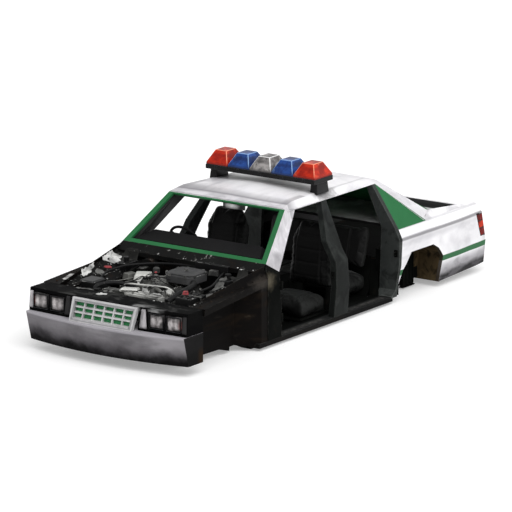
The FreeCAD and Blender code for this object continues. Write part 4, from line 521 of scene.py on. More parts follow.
def sooty_alloy(name="sooty_alloy", level=112, soot=0.56):
    return finish(name, (level, level, level - 4), 0.45, [
        (smoke(3.4, soot, 0.12), 28, 0.65, 0.94),
        (flakes(12.0, 0.38), (206, 206, 202), 0.8, 0.8),
        (worn(0.6), (190, 190, 186), 0.4),
    ], (160.0, 0.0006, 0.8), 0.3)


def grille_alloy():
    """Pale grille frame, with a grey ring between its outer edge and its inner step."""
    outer = band(LEFT, -0.35, 0.35, 0.003) * band(UP, 0.404, 0.594, 0.003)
    inner = band(LEFT, -0.322, 0.322, 0.003) * band(UP, 0.413, 0.576, 0.003)
    return finish("grille_alloy", (188, 187, 188), 0.4, [
        (smoke(5.0, 0.42, 0.16), (142, 140, 143), 0.5, 0.7),
        (outer * ~inner, (122, 121, 123), 0.5, 0.8),
        (worn(0.6), (214, 214, 216), 0.3),
    ], (300.0, 0.0002))


def seat_vinyl():
    """Scorched seat vinyl with a fine pebble grain and pale rubbed edges, with painted light on its top and
    sides and painted shade on its front faces.
    """
    return finish("seat_vinyl", 12, 0.5, [
        (smoke(2.2, 0.44, 0.18), (22, 23, 22), 0.6, 0.8),
        (smoke(9.0, 0.33, 0.07), (32, 32, 30), 0.7, 0.3),
        # Painted light on the sides and top, painted shade on the front faces
        (looking(LEFT, 0.6, 0.9) | looking(RIGHT, 0.6, 0.9), (35, 36, 35), 0.55, 0.65),
        (looking(FORWARDS, 0.5, 0.85), 8, 0.6, 0.6),
        (looking(UP, 0.75, 0.95), (44, 46, 45), 0.5, 0.5),
        (worn(0.2, Size=40.0), (66, 68, 66), 0.6),
    ], (620.0, 0.0005, 0.5), Specular_IOR_Level=0.1)


def beacon_lens(name, deep, bright, pale):
    """Moulded lens plastic: deep at its foot and in soft patches, with painted shade on its front faces and
    painted highlights as glints and as pale lines along its upper edges; pale is the colour of these
    highlights.
    """
    slant = 0.707
    first, second, third, fourth = (
        looking((across, along, 0.0), 0.68, 0.72) for across in (-slant, slant) for along in (-slant, slant)
    )
    corners = (first | second | third | fourth) * band(UP, 1.43, 1.6, 0.035)
    rims = looking(UP, 0.66, 0.7) * ~looking(UP, 0.975, 0.985) * band(UP, 1.47, 1.6, 0.01)
    return finish(name, bright, 0.35, [
        (smoke(9.0, 0.5, 0.12), deep, 0.4, 0.85),
        (band(UP, 1.3, 1.412, 0.014, 0.012, 10.0), deep, 0.45, 0.85),
        # Painted shade on the front faces
        (looking(FORWARDS, 0.4, 0.9), deep, 0.35, 0.3),
        # Painted glints
        (smoke(13.0, 0.33, 0.06) * band(UP, 1.42, 1.6, 0.03), pale, 0.3, 0.3),
        (band(UP, 1.468, 1.496, 0.01, 0.02, 12.0), deep, 0.4, 0.55),
        (looking(UP, 0.985, 0.995) * smoke(9.0, 0.55, 0.08), deep, 0.4, 0.6),
        # Painted highlights along the upper corners and top rims
        (rims | corners, pale, 0.35, 0.75),
    ], (90.0, 0.0004, 0.6), Coat_Weight=0.08, Coat_Roughness=0.2, Specular_IOR_Level=0.15)


def lamp_glass():
    """Smoked lamp glass with painted reflections: a paler middle and two bright bars in each lamp, black
    towards the rims, and a red tint at the ends.
    """
    layers = []
    # Painted reflections: a paler middle and two bright bars in each lamp
    for half in LAMP_HALVES:
        for side in SIDES:
            for over, reach, level in ((0.0, 0.1, 116), (-0.032, 0.05, 202), (0.036, 0.046, 196)):
                centre = (side * half + over, NOSE_Y + LAMP_STATION, LAMP_HEIGHT + over * 0.2)
                bar = patch(centre, (reach, 0.5, 0.076), 0.05, 1.5)
                layers.append((bar, (level, level - 6, level - 6), 0.25, 0.92))
    for side in SIDES:
        edge = (side * 0.848, NOSE_Y + LAMP_STATION, LAMP_HEIGHT)
        layers.append((patch(edge, (0.022, 0.5, 0.06), 0.2, 0.4), (140, 52, 42), 0.3, 0.6))
    layers.append((smoke(13.0, 0.48, 0.1, (1.0, 1.0, 0.7)), (82, 78, 78), 0.35, 0.6))
    return finish(
        "smoked_lamp_glass", (24, 22, 22), 0.3, layers, (60.0, 0.0004, 0.5),
        Coat_Weight=0.3, Coat_Roughness=0.12, Specular_IOR_Level=0.3,
    )


def mirror_silver():
    """Smoked mirror glass: black round its rim, with a painted reflection bright in the middle."""
    middle = middle_of("interior_mirror")
    centre = (middle.x - 0.02, middle.y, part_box("interior_mirror")[0][2] + 0.03)
    # Painted reflection in the mirror's middle
    bright = patch(centre, (0.105, 0.2, 0.042), 0.1, 0.5)
    return finish("mirror_silver", (20, 20, 21), 0.3, [(bright, 250, 0.25)], None, 0.3)


def ash(name, level, dark):
    """Matt ash and burnt paint, in soft patches of two tones."""
    return finish(name, (level, level, level - 2), 0.85, [
        (smoke(7.0, 0.5, 0.16), (dark, dark, dark - 1), 0.9, 0.85),
        (smoke(19.0, 0.38, 0.08), dark // 2, 0.9, 0.7),
    ], (110.0, 0.0015, 1.0), Specular_IOR_Level=0.2)


ROOF = roof_white()
FLANK = flank_white()
GREEN = finish("livery_green_paint", (39, 106, 62), 0.55, [
    (smoke(2.2, 0.46, 0.2), (32, 94, 54), 0.6, 0.6),
    (smoke(11.0, 0.33, 0.08), (30, 82, 49), 0.65, 0.3),
    (worn(0.35), (26, 72, 44), 0.6),
], (240.0, 0.00015), Specular_IOR_Level=0.15)
# Green grille cells, with painted shade along the foot of each row and darker mottles
GRILLE_GREEN = finish("grille_green", (45, 124, 74), 0.6, [
    *((band(UP, sill - 0.012, sill + 0.006, 0.005, 0.014, 40.0), (12, 18, 14), 0.8, 0.95)
      for sill in GRILLE_ROW_SILLS),
    (smoke(24.0, 0.4, 0.08), (28, 74, 46), 0.7, 0.6),
], (200.0, 0.0002), Specular_IOR_Level=0.3)
BUMPER = smoked_bumper_plastic()
CHARRED = charred_steel()
CABIN_STEEL = cabin_steel()
POST_STEEL = cabin_steel("post_steel", 92)
ARCH_STEEL = cabin_steel("arch_steel", 30)
WING = burnt_wing_steel()
FRAME_STEEL = finish("rusty_frame_steel", (17, 15, 13), 0.8, [
    (smoke(3.4, 0.42, 0.1), (44, 33, 24), 0.85, 0.7),
    (smoke(12.0, 0.4, 0.06), (11, 10, 9), 0.8, 0.6),
    (worn(0.4), (82, 66, 50), 0.7),
], (140.0, 0.0006, 0.9), Specular_IOR_Level=0.08)
# Black above, scorched brown towards the rear and the foot
WHEELHOUSE = finish("wheelhouse_steel", (8, 7, 6), 0.88, [
    (band(REARWARDS, ARCH_MIDDLE, FAR, 0.16, 0.3, 3.0), (72, 60, 42), 0.9, 0.8),
    (smoke(3.4, 0.42, 0.12), (92, 76, 52), 0.9, 0.45),
    (smoke(9.0, 0.44, 0.1), (12, 10, 8), 0.9, 0.75),
    (band(UP, -0.5, 0.1, 0.04, 0.1, 6.0), (72, 62, 44), 0.9, 0.45),
    (band(UP, 0.42, 2.0, 0.06, 0.08, 5.0), (7, 6, 6), 0.9, 0.9),
], (90.0, 0.001, 0.9), Specular_IOR_Level=0.05)
JAMB = door_jamb_grey()
PILLAR = door_jamb_grey("pillar_grey", 33)
# Grey on top, made pale as painted light, in soft patches, and black round the edges
SHELF = finish("shelf_grey", 16, 0.7, [
    (looking(UP, 0.8, 0.95), (190, 191, 190), 0.8, 0.92),
    (looking(UP, 0.8, 0.95) * smoke(3.0, 0.5, 0.14), 112, 0.8, 0.8),
], (160.0, 0.0004, 0.8), Specular_IOR_Level=0.05)
# Black, with a pale rubbed line along the upper edge
SILL = finish("sill_black", 9, 0.55, [
    (smoke(3.0, 0.42, 0.12, (1.0, 0.5, 1.0)), (28, 26, 24), 0.7, 0.7),
    (looking(UP, 0.6, 0.8) * smoke(2.2, 0.6, 0.16, (1.0, 0.6, 1.0)), (42, 43, 43), 0.6, 0.7),
    (worn(0.8, Broken=0.6), (92, 91, 89), 0.45),
], (160.0, 0.0005, 0.8), Specular_IOR_Level=0.04)
BURNT_PLASTIC = charred_plastic()
GREY_LID = charred_plastic("smoked_grey_lid", 58, 0.3)
NOSE = nose_plastic()
CABIN = finish("cabin_plastic", (8, 8, 9), 0.6, [
    (smoke(2.0, 0.45, 0.16), (19, 18, 20), 0.65, 0.7),
    (worn(0.5), (58, 58, 60), 0.5),
], (420.0, 0.0004, 0.4), Specular_IOR_Level=0.08)
ALLOY = sooty_alloy()
PALE_ALLOY = sooty_alloy("pale_alloy", 196, 0.4)
ENGINE_IRON = charred_steel("engine_iron", 0.44, 0.4, 20)
GRILLE = grille_alloy()
VINYL = seat_vinyl()
# Black, with pale edge lines that are partly rubbed wear and partly painted highlight
BAR = finish("bar_black", (5, 5, 6), 0.36, [
    (smoke(4.0, 0.42, 0.12), (19, 19, 21), 0.45, 0.6),
    (worn(0.8, Broken=0.5), (92, 92, 96), 0.35),
], (260.0, 0.0003), Specular_IOR_Level=0.16)
# The third colour of each lens is its painted highlight
RED = beacon_lens("red_lens", (122, 10, 2), (202, 44, 10), (250, 160, 126))
BLUE = beacon_lens("blue_lens", (12, 30, 74), (34, 76, 152), (146, 184, 230))
CLEAR = beacon_lens("clear_lens", (66, 64, 64), (178, 174, 172), 252)
LAMP = lamp_glass()
# Pale, and black along the side that is turned from the grille
MARKER = finish("marker_lens", (176, 173, 176), 0.3, [
    (smoke(9.0, 0.46, 0.14, (1.0, 1.0, 0.5)), (96, 94, 96), 0.4, 0.8),
    (band(UP, -0.5, 0.43, 0.02, 0.02, 20.0), (20, 19, 20), 0.6, 0.9),
    (band(LEFT, -0.7, 0.0, 0.01) | band(LEFT, 0.7, 2.0, 0.01), 14, 0.6, 0.96),
], (120.0, 0.0003), Coat_Weight=0.06, Coat_Roughness=0.2, Specular_IOR_Level=0.08)
# Red in three cells, with an amber middle and sooty frames between them
TAIL = finish("tail_lens", (116, 4, 2), 0.3, [
    (band(UP, 0.47, 0.548, 0.004), (196, 44, 6), 0.3),
    *((band(UP, seam - 0.006, seam + 0.006, 0.002), (16, 14, 14), 0.6) for seam in (0.39, 0.472, 0.55, 0.62)),
    (smoke(14.0, 0.45, 0.1), (52, 8, 6), 0.4, 0.8),
], (120.0, 0.0004), Specular_IOR_Level=0.06)
MIRROR = mirror_silver()
WHITE_ASH = ash("white_ash", 220, 104)
GREY_ASH = ash("grey_ash", 112, 52)
BLACK_ASH = ash("black_ash", 40, 16)
SCORCHED_RED = finish("scorched_red", (150, 44, 50), 0.5, [
    (smoke(20.0, 0.45, 0.1), (66, 22, 24), 0.6, 0.8),
], (150.0, 0.0004))


# Making pieces

BEVEL_ANGLE, SHARP_ANGLE = math.radians(22), math.radians(38)
WELD_REACH, FLAT_ANGLE = 0.00002, math.radians(0.6)
HIGH_ABOVE = 1.0


def link(piece):
    bpy.context.scene.collection.objects.link(piece)
    return piece


def linked_mesh(name, bm):
    """A new object with a bmesh's shape; the bmesh is used up."""
    mesh = bpy.data.meshes.new(name)
    bm.to_mesh(mesh)
    bm.free()
    return link(bpy.data.objects.new(name, mesh))


def modify(piece, name, kind, **settings):
    modifier = piece.modifiers.new(name, kind)
    for label, value in settings.items():
        setattr(modifier, label, value)
    return modifier


def finish_piece(piece, material, body="hulk"):
    """Gives a new piece its material and the body it rides on."""
    piece.data.materials.clear()
    piece.data.materials.append(material)
    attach(piece, body)
    return piece


def round_edges(piece, width=0.0, smooth=True):
    for face in piece.data.polygons:
        face.use_smooth = smooth
    if width:
        modify(
            piece, "rounded", "BEVEL", width=width, segments=2, limit_method="ANGLE",
            angle_limit=BEVEL_ANGLE, harden_normals=smooth,
        )
    if smooth:
        piece.data.set_sharp_from_angle(angle=SHARP_ANGLE)


def piece_from(name, bm, material, bevel=0.0, body="hulk", smooth=True):
    """A piece from a bmesh, with rounded edges where bevel is given."""
    bmesh.ops.recalc_face_normals(bm, faces=bm.faces)
    piece = linked_mesh(name, bm)
    round_edges(piece, bevel, smooth)
    return finish_piece(piece, material, body)


def softened(node, width, material, body):
    """A copy of a CAD node with its edges rounded, which stands for it."""
    bm = bmesh.new()
    bm.from_mesh(NODES[node].data)
    bmesh.ops.remove_doubles(bm, verts=bm.verts, dist=WELD_REACH)
    bmesh.ops.dissolve_limit(bm, angle_limit=FLAT_ANGLE, verts=bm.verts, edges=bm.edges)
    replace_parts(piece_from(node + "_dressed", bm, material, width, body), node)


def spot(half, station, height):
    """A place by its half width, its distance behind the bumper's nose and its height."""
    return Vector((half, NOSE_Y + station, height))


def turned(lean=0.0, roll=0.0, heading=0.0):
    """A turn by degrees about the car's three directions."""
    return Euler((math.radians(lean), math.radians(roll), math.radians(heading))).to_matrix()


def shift(across=0.0, along=0.0, up=0.0):
    return Vector((across, along, up))


def add_block(bm, centre, size, turn=Matrix.Identity(3), taper=1.0):
    """A block by its centre and full sizes; taper narrows its top."""
    corners = []
    for high in (-0.5, 0.5):
        narrow = taper if high > 0 else 1.0
        for across, along in ((-0.5, -0.5), (0.5, -0.5), (0.5, 0.5), (-0.5, 0.5)):
            local = Vector((across * size[0] * narrow, along * size[1] * narrow, high * size[2]))
            corners.append(bm.verts.new(Vector(centre) + turn @ local))
    for ring in ((0, 3, 2, 1), (4, 5, 6, 7), (0, 1, 5, 4), (1, 2, 6, 5), (2, 3, 7, 6), (3, 0, 4, 7)):
        bm.faces.new([corners[index] for index in ring])


def skin(bm, rings):
    """Joins rings of places into one closed shape."""
    made = [[bm.verts.new(place) for place in ring] for ring in rings]
    count = len(made[0])
    for low, high in zip(made, made[1:]):
        for index in range(count):
            after = (index + 1) % count
            bm.faces.new((low[index], low[after], high[after], high[index]))
    bm.faces.new(made[0][::-1])
    bm.faces.new(made[-1])


def oblong(centre, half_width, half_depth, depth_way, sides=36, squareness=0.42):
    """A ring of places round a rounded oblong, wide across the car."""
    centre, across, deep = Vector(centre), Vector(LEFT) * half_width, Vector(depth_way) * half_depth
    ring = []
    for side in range(sides):
        angle = math.tau * side / sides
        over, along = (
            math.copysign(abs(share) ** squareness, share) for share in (math.cos(angle), math.sin(angle))
        )
        ring.append(centre + across * over + deep * along)
    return ring


def add_turned(bm, foot, head, profile, sides=20):
    """A turned shape from foot to head; the profile gives shares of the way and radii."""
    foot, head = Vector(foot), Vector(head)
    axis = head - foot
    across = axis.orthogonal().normalized()
    around = axis.normalized().cross(across)
    angles = [math.tau * side / sides for side in range(sides)]
    spokes = [across * math.cos(angle) + around * math.sin(angle) for angle in angles]
    skin(bm, [[foot + axis * share + spoke * radius for spoke in spokes] for share, radius in profile])


def add_cap(bm, foot, height, profile, sides=20):
    """A turned shape that stands upright on its foot."""
    add_turned(bm, foot, Vector(foot) + shift(up=height), profile, sides)


def add_rod(bm, foot, head, radius):
    add_turned(bm, foot, head, ((0.0, radius), (1.0, radius)), 14)


def add_bolt(bm, place, towards, radius=0.007, height=0.006):
    """A hexagon head with its washer."""
    way = Vector(towards).normalized() * height
    add_turned(bm, place - way, place + way * 0.3, ((0.0, radius * 1.5), (1.0, radius * 1.5)), 16)
    add_turned(bm, place, place + way, ((0.0, radius), (0.8, radius), (1.0, radius * 0.82)), 6)


def pipes(name, routes, radius, material):
    """Fixed pipes or leads, each on a smooth line along its route."""
    curve = bpy.data.curves.new(name + "_line", "CURVE")
    curve.dimensions = "3D"
    curve.bevel_depth = radius
    curve.bevel_resolution = 3
    curve.use_fill_caps = True
    for route in routes:
        line = curve.splines.new("NURBS")
        line.points.add(len(route) - 1)
        for point, place in zip(line.points, route):
            point.co = (*place, 1.0)
        line.order_u = 3
        line.use_endpoint_u = True
        line.resolution_u = 5
    guide = bpy.data.objects.new(name + "_line", curve)
    piece = link(bpy.data.objects.new(name, bpy.data.meshes.new_from_object(guide)))
    bpy.data.objects.remove(guide)
    round_edges(piece)
    finish_piece(piece, material)


def faces_of(*nodes):
    """A search tree of the nodes' faces, so that pieces can be seated on them."""
    bm = bmesh.new()
    for node in nodes:
        bm.from_mesh(NODES[node].data)
    tree = BVHTree.FromBMesh(bm)
    bm.free()
    return tree


def seat_on(tree, start, towards):
    """Where a line from start meets the faces, and which way they look there."""
    return tree.ray_cast(Vector(start), Vector(towards))[:2]


def seats(tree, starts, towards):
    """Each place where a line from one of the starts meets the faces, with the way they look."""
    return [found for found in (seat_on(tree, start, towards) for start in starts) if found[0]]


def seat_bolts(bm, tree, starts, towards, *sizes):
    for place, normal in seats(tree, starts, towards):
        add_bolt(bm, place, normal, *sizes)


def apply_modifiers(piece):
    """Makes the piece's modifiers part of its mesh."""
    graph = bpy.context.evaluated_depsgraph_get()
    mesh = bpy.data.meshes.new_from_object(piece.evaluated_get(graph))
    piece.modifiers.clear()
    piece.data = mesh


FLANK_FACES = faces_of("quarter_panel_left", "rear_jambs", "b_pillars")
BAY_FACES = faces_of(
    "engine", "rocker_covers", "intake_manifold", "air_cleaner", "battery", "fuse_box", "reservoirs",
    "heater_box", "bay_shelves", "inner_wings", "fan_shroud", "radiator", "firewall", "cowl",
    "brake_servo", "nose_panel",
)


def side_half(height):
    """Half width of the body's side at a height, read off the quarter panel."""
    place, _ = seat_on(FLANK_FACES, spot(2.0, 3.72, height), RIGHT)
    return place.x if place else 0.6


# CAD nodes: painted where they keep their shape, else copied with rounded edges

PAINTED = {
    "window_blanks": GREEN, "windscreen_trim": GREEN, "wheelhouses": WHEELHOUSE,
    "front_subframe": FRAME_STEEL, "rear_subframe": FRAME_STEEL, "engine": ENGINE_IRON,
    "dashboard": CABIN, "headlamps": LAMP,
}
ROUNDED = {
    ROOF: {"roof_panel": 0.012, "a_pillars": 0.004},
    FLANK: {"quarter_panel_left": 0.007, "quarter_panel_right": 0.007, "tail_panel": 0.006},
    BUMPER: {"front_bumper": 0.01, "rear_bumper": 0.01},
    NOSE: {"nose_panel": 0.006},
    WING: {"inner_wings": 0.006},
    JAMB: {"rear_jambs": 0.006},
    PILLAR: {"b_pillars": 0.006},
    SHELF: {"parcel_shelf": 0.004},
    SILL: {"sills": 0.004},
    CABIN_STEEL: {"floor_pan": 0.005, "heel_board": 0.005, "frame_rails": 0.006, "boot_floor": 0.003},
    POST_STEEL: {"hinge_posts": 0.005},
    CHARRED: {
        "firewall": 0.006, "cowl": 0.005, "bay_shelves": 0.005, "brake_servo": 0.006, "radiator": 0.004,
    },
    BURNT_PLASTIC: {"battery": 0.006, "reservoirs": 0.01, "fuse_box": 0.006, "heater_box": 0.012},
    GREY_LID: {"air_cleaner": 0.012},
    ALLOY: {"intake_manifold": 0.008, "rocker_covers": 0.008},
    PALE_ALLOY: {"fan_shroud": 0.008},
    GRILLE: {"grille": 0.002},
    GRILLE_GREEN: {"grille_backing": 0.002},
    BAR: {"light_bar_base": 0.004},
    TAIL: {"tail_lamps": 0.004},
    MIRROR: {"interior_mirror": 0.004},
    RED: {"beacons_red": 0.006},
    BLUE: {"beacons_blue": 0.006},
    CLEAR: {"beacon_clear": 0.006},
    CABIN: {"steering_column": 0.004, "steering_wheel": 0.005},
}


def dress_nodes():
    for node, material in PAINTED.items():
        for slot in NODES[node].material_slots:
            slot.material = material
    for material, nodes in ROUNDED.items():
        for node, width in nodes.items():
            softened(node, width, material, "steering" if node == "steering_wheel" else "hulk")


# Nose

def make_lamp_fronts():
    """Domed glass in front of each lamp body, and the black rim that holds it."""
    width, height = 0.165, 0.145
    rim, dome, face = 0.006, 0.012, 0.166
    columns, rows = 10, 8
    glass, rims = bmesh.new(), bmesh.new()
    for half in [side * half for side in SIDES for half in LAMP_HALVES]:
        grid = []
        for row in range(rows + 1):
            up = row / rows * 2 - 1
            line = []
            for column in range(columns + 1):
                over = column / columns * 2 - 1
                bulge = dome * (1 - over ** 4) * (1 - up ** 4)
                line.append(glass.verts.new(spot(
                    half + over * (width / 2 - rim), face - bulge, LAMP_HEIGHT + up * (height / 2 - rim),
                )))
            grid.append(line)
        for low, high in zip(grid, grid[1:]):
            for index in range(columns):
                glass.faces.new((low[index], low[index + 1], high[index + 1], high[index]))
        for end in SIDES:
            add_block(rims, spot(half, face - 0.004, LAMP_HEIGHT + end * (height - rim) / 2),
                      (width - 0.001, 0.014, rim))
            add_block(rims, spot(half + end * (width - rim) / 2, face - 0.004, LAMP_HEIGHT),
                      (rim, 0.014, height - rim * 2 - 0.001))
    modify(piece_from("lamp_glasses", glass, LAMP), "thickness", "SOLIDIFY", thickness=0.002)
    piece_from("lamp_rims", rims, BAR, 0.003)


def make_corner_lenses():
    """Tapered lens on each side of the grille and at each end of the nose, seated on the panel."""
    nose, lens = faces_of("nose_panel"), bmesh.new()
    for half, width, low, high, top_share in (
        (0.438, 0.086, 0.415, 0.6, 0.5), (0.893, 0.05, 0.42, 0.585, 0.7),
    ):
        middle = (low + high) / 2
        for side in SIDES:
            rings = []
            for reach, share in ((0.0, 1.0), (0.014, 0.84), (0.026, 0.4)):
                ring = []
                for over, tall in ((-1, low), (1, low), (1, high), (-1, high)):
                    narrow = share * (top_share if tall == high else 1.0)
                    place = spot(
                        side * half + over * width / 2 * narrow, -1.0,
                        middle + (tall - middle) * (share * 0.3 + 0.7),
                    )
                    base, _ = seat_on(nose, place, REARWARDS)
                    place.y = (base.y if base else NOSE_Y + 0.16) + 0.002 - reach
                    ring.append(place)
                rings.append(ring)
            skin(lens, rings)
    piece_from("nose_lenses", lens, MARKER, 0.003)


def make_grille_lip():
    """Inner step of the grille's frame, on its front face."""
    low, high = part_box("grille")
    inset, count, deepest = 0.03, 12, NOSE_Y + 0.16
    length = (high[0] - low[0] - inset * 2) / count
    starts = [
        (low[0] + inset + length * (index + 0.5), NOSE_Y - 1.0, height)
        for height in (low[2] + inset, high[2] - inset) for index in range(count)
    ]
    lip = bmesh.new()
    for place, _ in seats(faces_of("grille"), starts, REARWARDS):
        if place.y < deepest:
            add_block(lip, place - shift(along=0.001), (length + 0.0005, 0.006, 0.008))
    piece_from("grille_frame_lip", lip, GRILLE, 0.0015)


# Engine bay

def make_air_cleaner_lid():
    """Raised lid of the air cleaner with its wing nut and clips."""
    low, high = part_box("air_cleaner")
    middle, top = middle_of("air_cleaner"), high[2]
    half_width, half_length = (high[0] - low[0]) / 2, (high[1] - low[1]) / 2
    lid, nut = bmesh.new(), bmesh.new()
    skin(lid, [
        oblong((middle.x, middle.y, top + lift), half_width - inset, half_length - inset, REARWARDS, 40, 0.35)
        for inset, lift in (
            (0.014, -0.004), (0.008, 0.004), (0.02, 0.012), (0.058, 0.013), (0.064, 0.009), (0.128, 0.01),
        )
    ])
    piece_from("air_cleaner_lid", lid, GREY_LID)
    stem = ((0.0, 0.02), (0.3, 0.02), (0.35, 0.01), (1.0, 0.009))
    add_cap(nut, (middle.x, middle.y, top + 0.008), 0.022, stem)
    for side in SIDES:
        wing = (middle.x + side * 0.016, middle.y, top + 0.026)
        add_block(nut, wing, (0.02, 0.005, 0.016), turned(roll=side * -20))
        for along in (-0.09, 0.09):
            clip = Vector((middle.x, middle.y, top - 0.006))
            add_block(nut, clip + shift(side * half_width, along), (0.008, 0.03, 0.03))
            add_block(nut, clip + shift(along, side * half_length), (0.03, 0.008, 0.03))
    piece_from("air_cleaner_fixings", nut, ALLOY, 0.0015)


def make_engine_top():
    """Runners, rocker bolts, distributor towers and the leads between them."""
    runner = ((0.05, 0.615), (0.1, 0.62), (0.165, 0.59), (0.2, 0.545))
    pipes("intake_runners", [
        [spot(side * half, station, height) for half, height in runner]
        for side in SIDES for station in (0.8, 0.92, 1.08, 1.2)
    ], 0.02, ALLOY)
    bolts, towers, leads = bmesh.new(), bmesh.new(), []
    cover = faces_of("rocker_covers")
    filler = ((0.0, 0.026), (0.4, 0.026), (0.45, 0.032), (0.9, 0.03), (1.0, 0.022))
    for side in SIDES:
        heads = [spot(side * half, 0.74 + 0.1 * step, 0.9) for half in (0.216, 0.3) for step in range(6)]
        seat_bolts(bolts, cover, heads, DOWN)
        for place, normal in seats(cover, [spot(side * 0.26, 0.78, 0.9)], DOWN):
            add_turned(bolts, place - normal * 0.004, place + normal * 0.03, filler)
    piece_from("rocker_cover_fixings", bolts, PALE_ALLOY, 0.001)
    middle = spot(-0.06, 0.88, 0.668)
    for index in range(8):
        angle = math.tau * index / 8
        out = shift(math.cos(angle), math.sin(angle))
        foot = middle + out * 0.034
        add_cap(towers, foot, 0.024, ((0.0, 0.0085), (0.7, 0.0085), (1.0, 0.007)), 12)
        side, station = -1 if out.x < 0 else 1, 0.76 + 0.13 * (index % 4)
        leads.append([foot + shift(up=0.02), foot + out * 0.02 + shift(up=0.034)] + [
            spot(side * half, station, height)
            for half, height in ((0.14, 0.66), (0.24, 0.628), (0.33, 0.53), (0.345, 0.47))
        ])
    add_cap(towers, middle - shift(up=0.002), 0.032, ((0.0, 0.016), (0.8, 0.012), (1.0, 0.009)), 16)
    piece_from("distributor_towers", towers, BURNT_PLASTIC, 0.001)
    pipes("plug_leads", leads, 0.0042, BURNT_PLASTIC)


BAY_PIPES = (
    ("coolant_pipe", 0.021, BURNT_PLASTIC, (
        (-0.4, 0.505, 0.585), (-0.4, 0.515, 0.626), (-0.36, 0.6, 0.642),
        (-0.26, 0.68, 0.65), (-0.15, 0.73, 0.63), (-0.12, 0.78, 0.6),
    )),
    ("transfer_pipe", 0.0075, PALE_ALLOY, (
        (-0.2, 0.7, 0.63), (-0.168, 0.69, 0.655), (0.02, 0.7, 0.662),
        (0.2, 0.73, 0.668), (0.301, 0.755, 0.66), (0.32, 0.78, 0.62),
    )),
    ("snorkel_pipe", 0.03, BURNT_PLASTIC, (
        (0.3, 1.1, 0.66), (0.42, 1.0, 0.66), (0.44, 0.86, 0.65), (0.42, 0.7, 0.62), (0.41, 0.56, 0.58),
    )),
    (
        "heater_pipes", 0.012, BURNT_PLASTIC,
        ((0.06, 1.2, 0.62), (0.09, 1.32, 0.66), (0.16, 1.4, 0.66), (0.2, 1.42, 0.62)),
        ((-0.04, 1.22, 0.62), (0.02, 1.36, 0.69), (0.14, 1.4, 0.7), (0.26, 1.42, 0.66)),
    ),
    (
        "brake_lines", 0.004, ALLOY,
        ((-0.43, 1.29, 0.57), (-0.38, 1.22, 0.585), (-0.4, 1.05, 0.56), (-0.5, 0.9, 0.56),
         (-0.58, 0.86, 0.6)),
        ((-0.43, 1.33, 0.57), (-0.36, 1.28, 0.6), (-0.37, 1.08, 0.6), (-0.44, 0.9, 0.59), (-0.5, 0.84, 0.6)),
    ),
    (
        "bay_looms", 0.011, BURNT_PLASTIC,
        ((0.56, 0.88, 0.64), (0.6, 1.0, 0.66), (0.57, 1.12, 0.68), (0.5, 1.3, 0.7), (0.46, 1.41, 0.7)),
        ((-0.56, 0.82, 0.62), (-0.6, 0.92, 0.65), (-0.56, 1.06, 0.67), (-0.52, 1.2, 0.68), (-0.3, 1.4, 0.69),
         (0.02, 1.46, 0.7), (0.13, 1.45, 0.7)),
    ),
)


def make_bay_pipes():
    for name, radius, material, *routes in BAY_PIPES:
        pipes(name, [[spot(*place) for place in route] for route in routes], radius, material)


def make_battery_top():
    """Caps, posts and hold-down of the battery, with a scorched red boot on one post."""
    low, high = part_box("battery")
    top, middle = high[2], middle_of("battery")
    fittings, straps, boots = bmesh.new(), bmesh.new(), bmesh.new()
    cap, post = ((0.0, 0.014), (0.7, 0.014), (1.0, 0.01)), ((0.0, 0.012), (0.9, 0.01), (1.0, 0.007))
    cap_line, cap_count, inset = low[0] + 0.12, 6, 0.04
    pitch = (high[1] - low[1] - inset * 2) / (cap_count - 1)
    for index in range(cap_count):
        add_cap(fittings, (cap_line, low[1] + inset + pitch * index, top - 0.002), 0.014, cap, 16)
    for along in (low[1] + 0.05, high[1] - 0.05):
        add_cap(fittings, (low[0] + 0.04, along, top - 0.002), 0.022, post, 16)
    add_block(straps, (middle.x, middle.y, top + 0.005), (high[0] - low[0] + 0.02, 0.022, 0.008))
    for side in (low[0] - 0.006, high[0] + 0.006):
        add_rod(straps, (side, middle.y, top - 0.12), (side, middle.y, top + 0.02), 0.004)
    piece_from("battery_fittings", fittings, BURNT_PLASTIC, 0.001)
    piece_from("battery_strap", straps, ALLOY, 0.001)
    for place, size, heading in (
        (spot(0.497, 0.735, top + 0.022), (0.06, 0.044, 0.034), 30),
        (spot(-0.702, 1.112, 0.652), (0.088, 0.03, 0.02), 32),
        (spot(-0.105, 1.08, 0.69), (0.03, 0.016, 0.014), 50),
    ):
        add_block(boots, place, size, turned(heading=heading), 0.7)
    piece_from("scorched_red_boots", boots, SCORCHED_RED, 0.004)


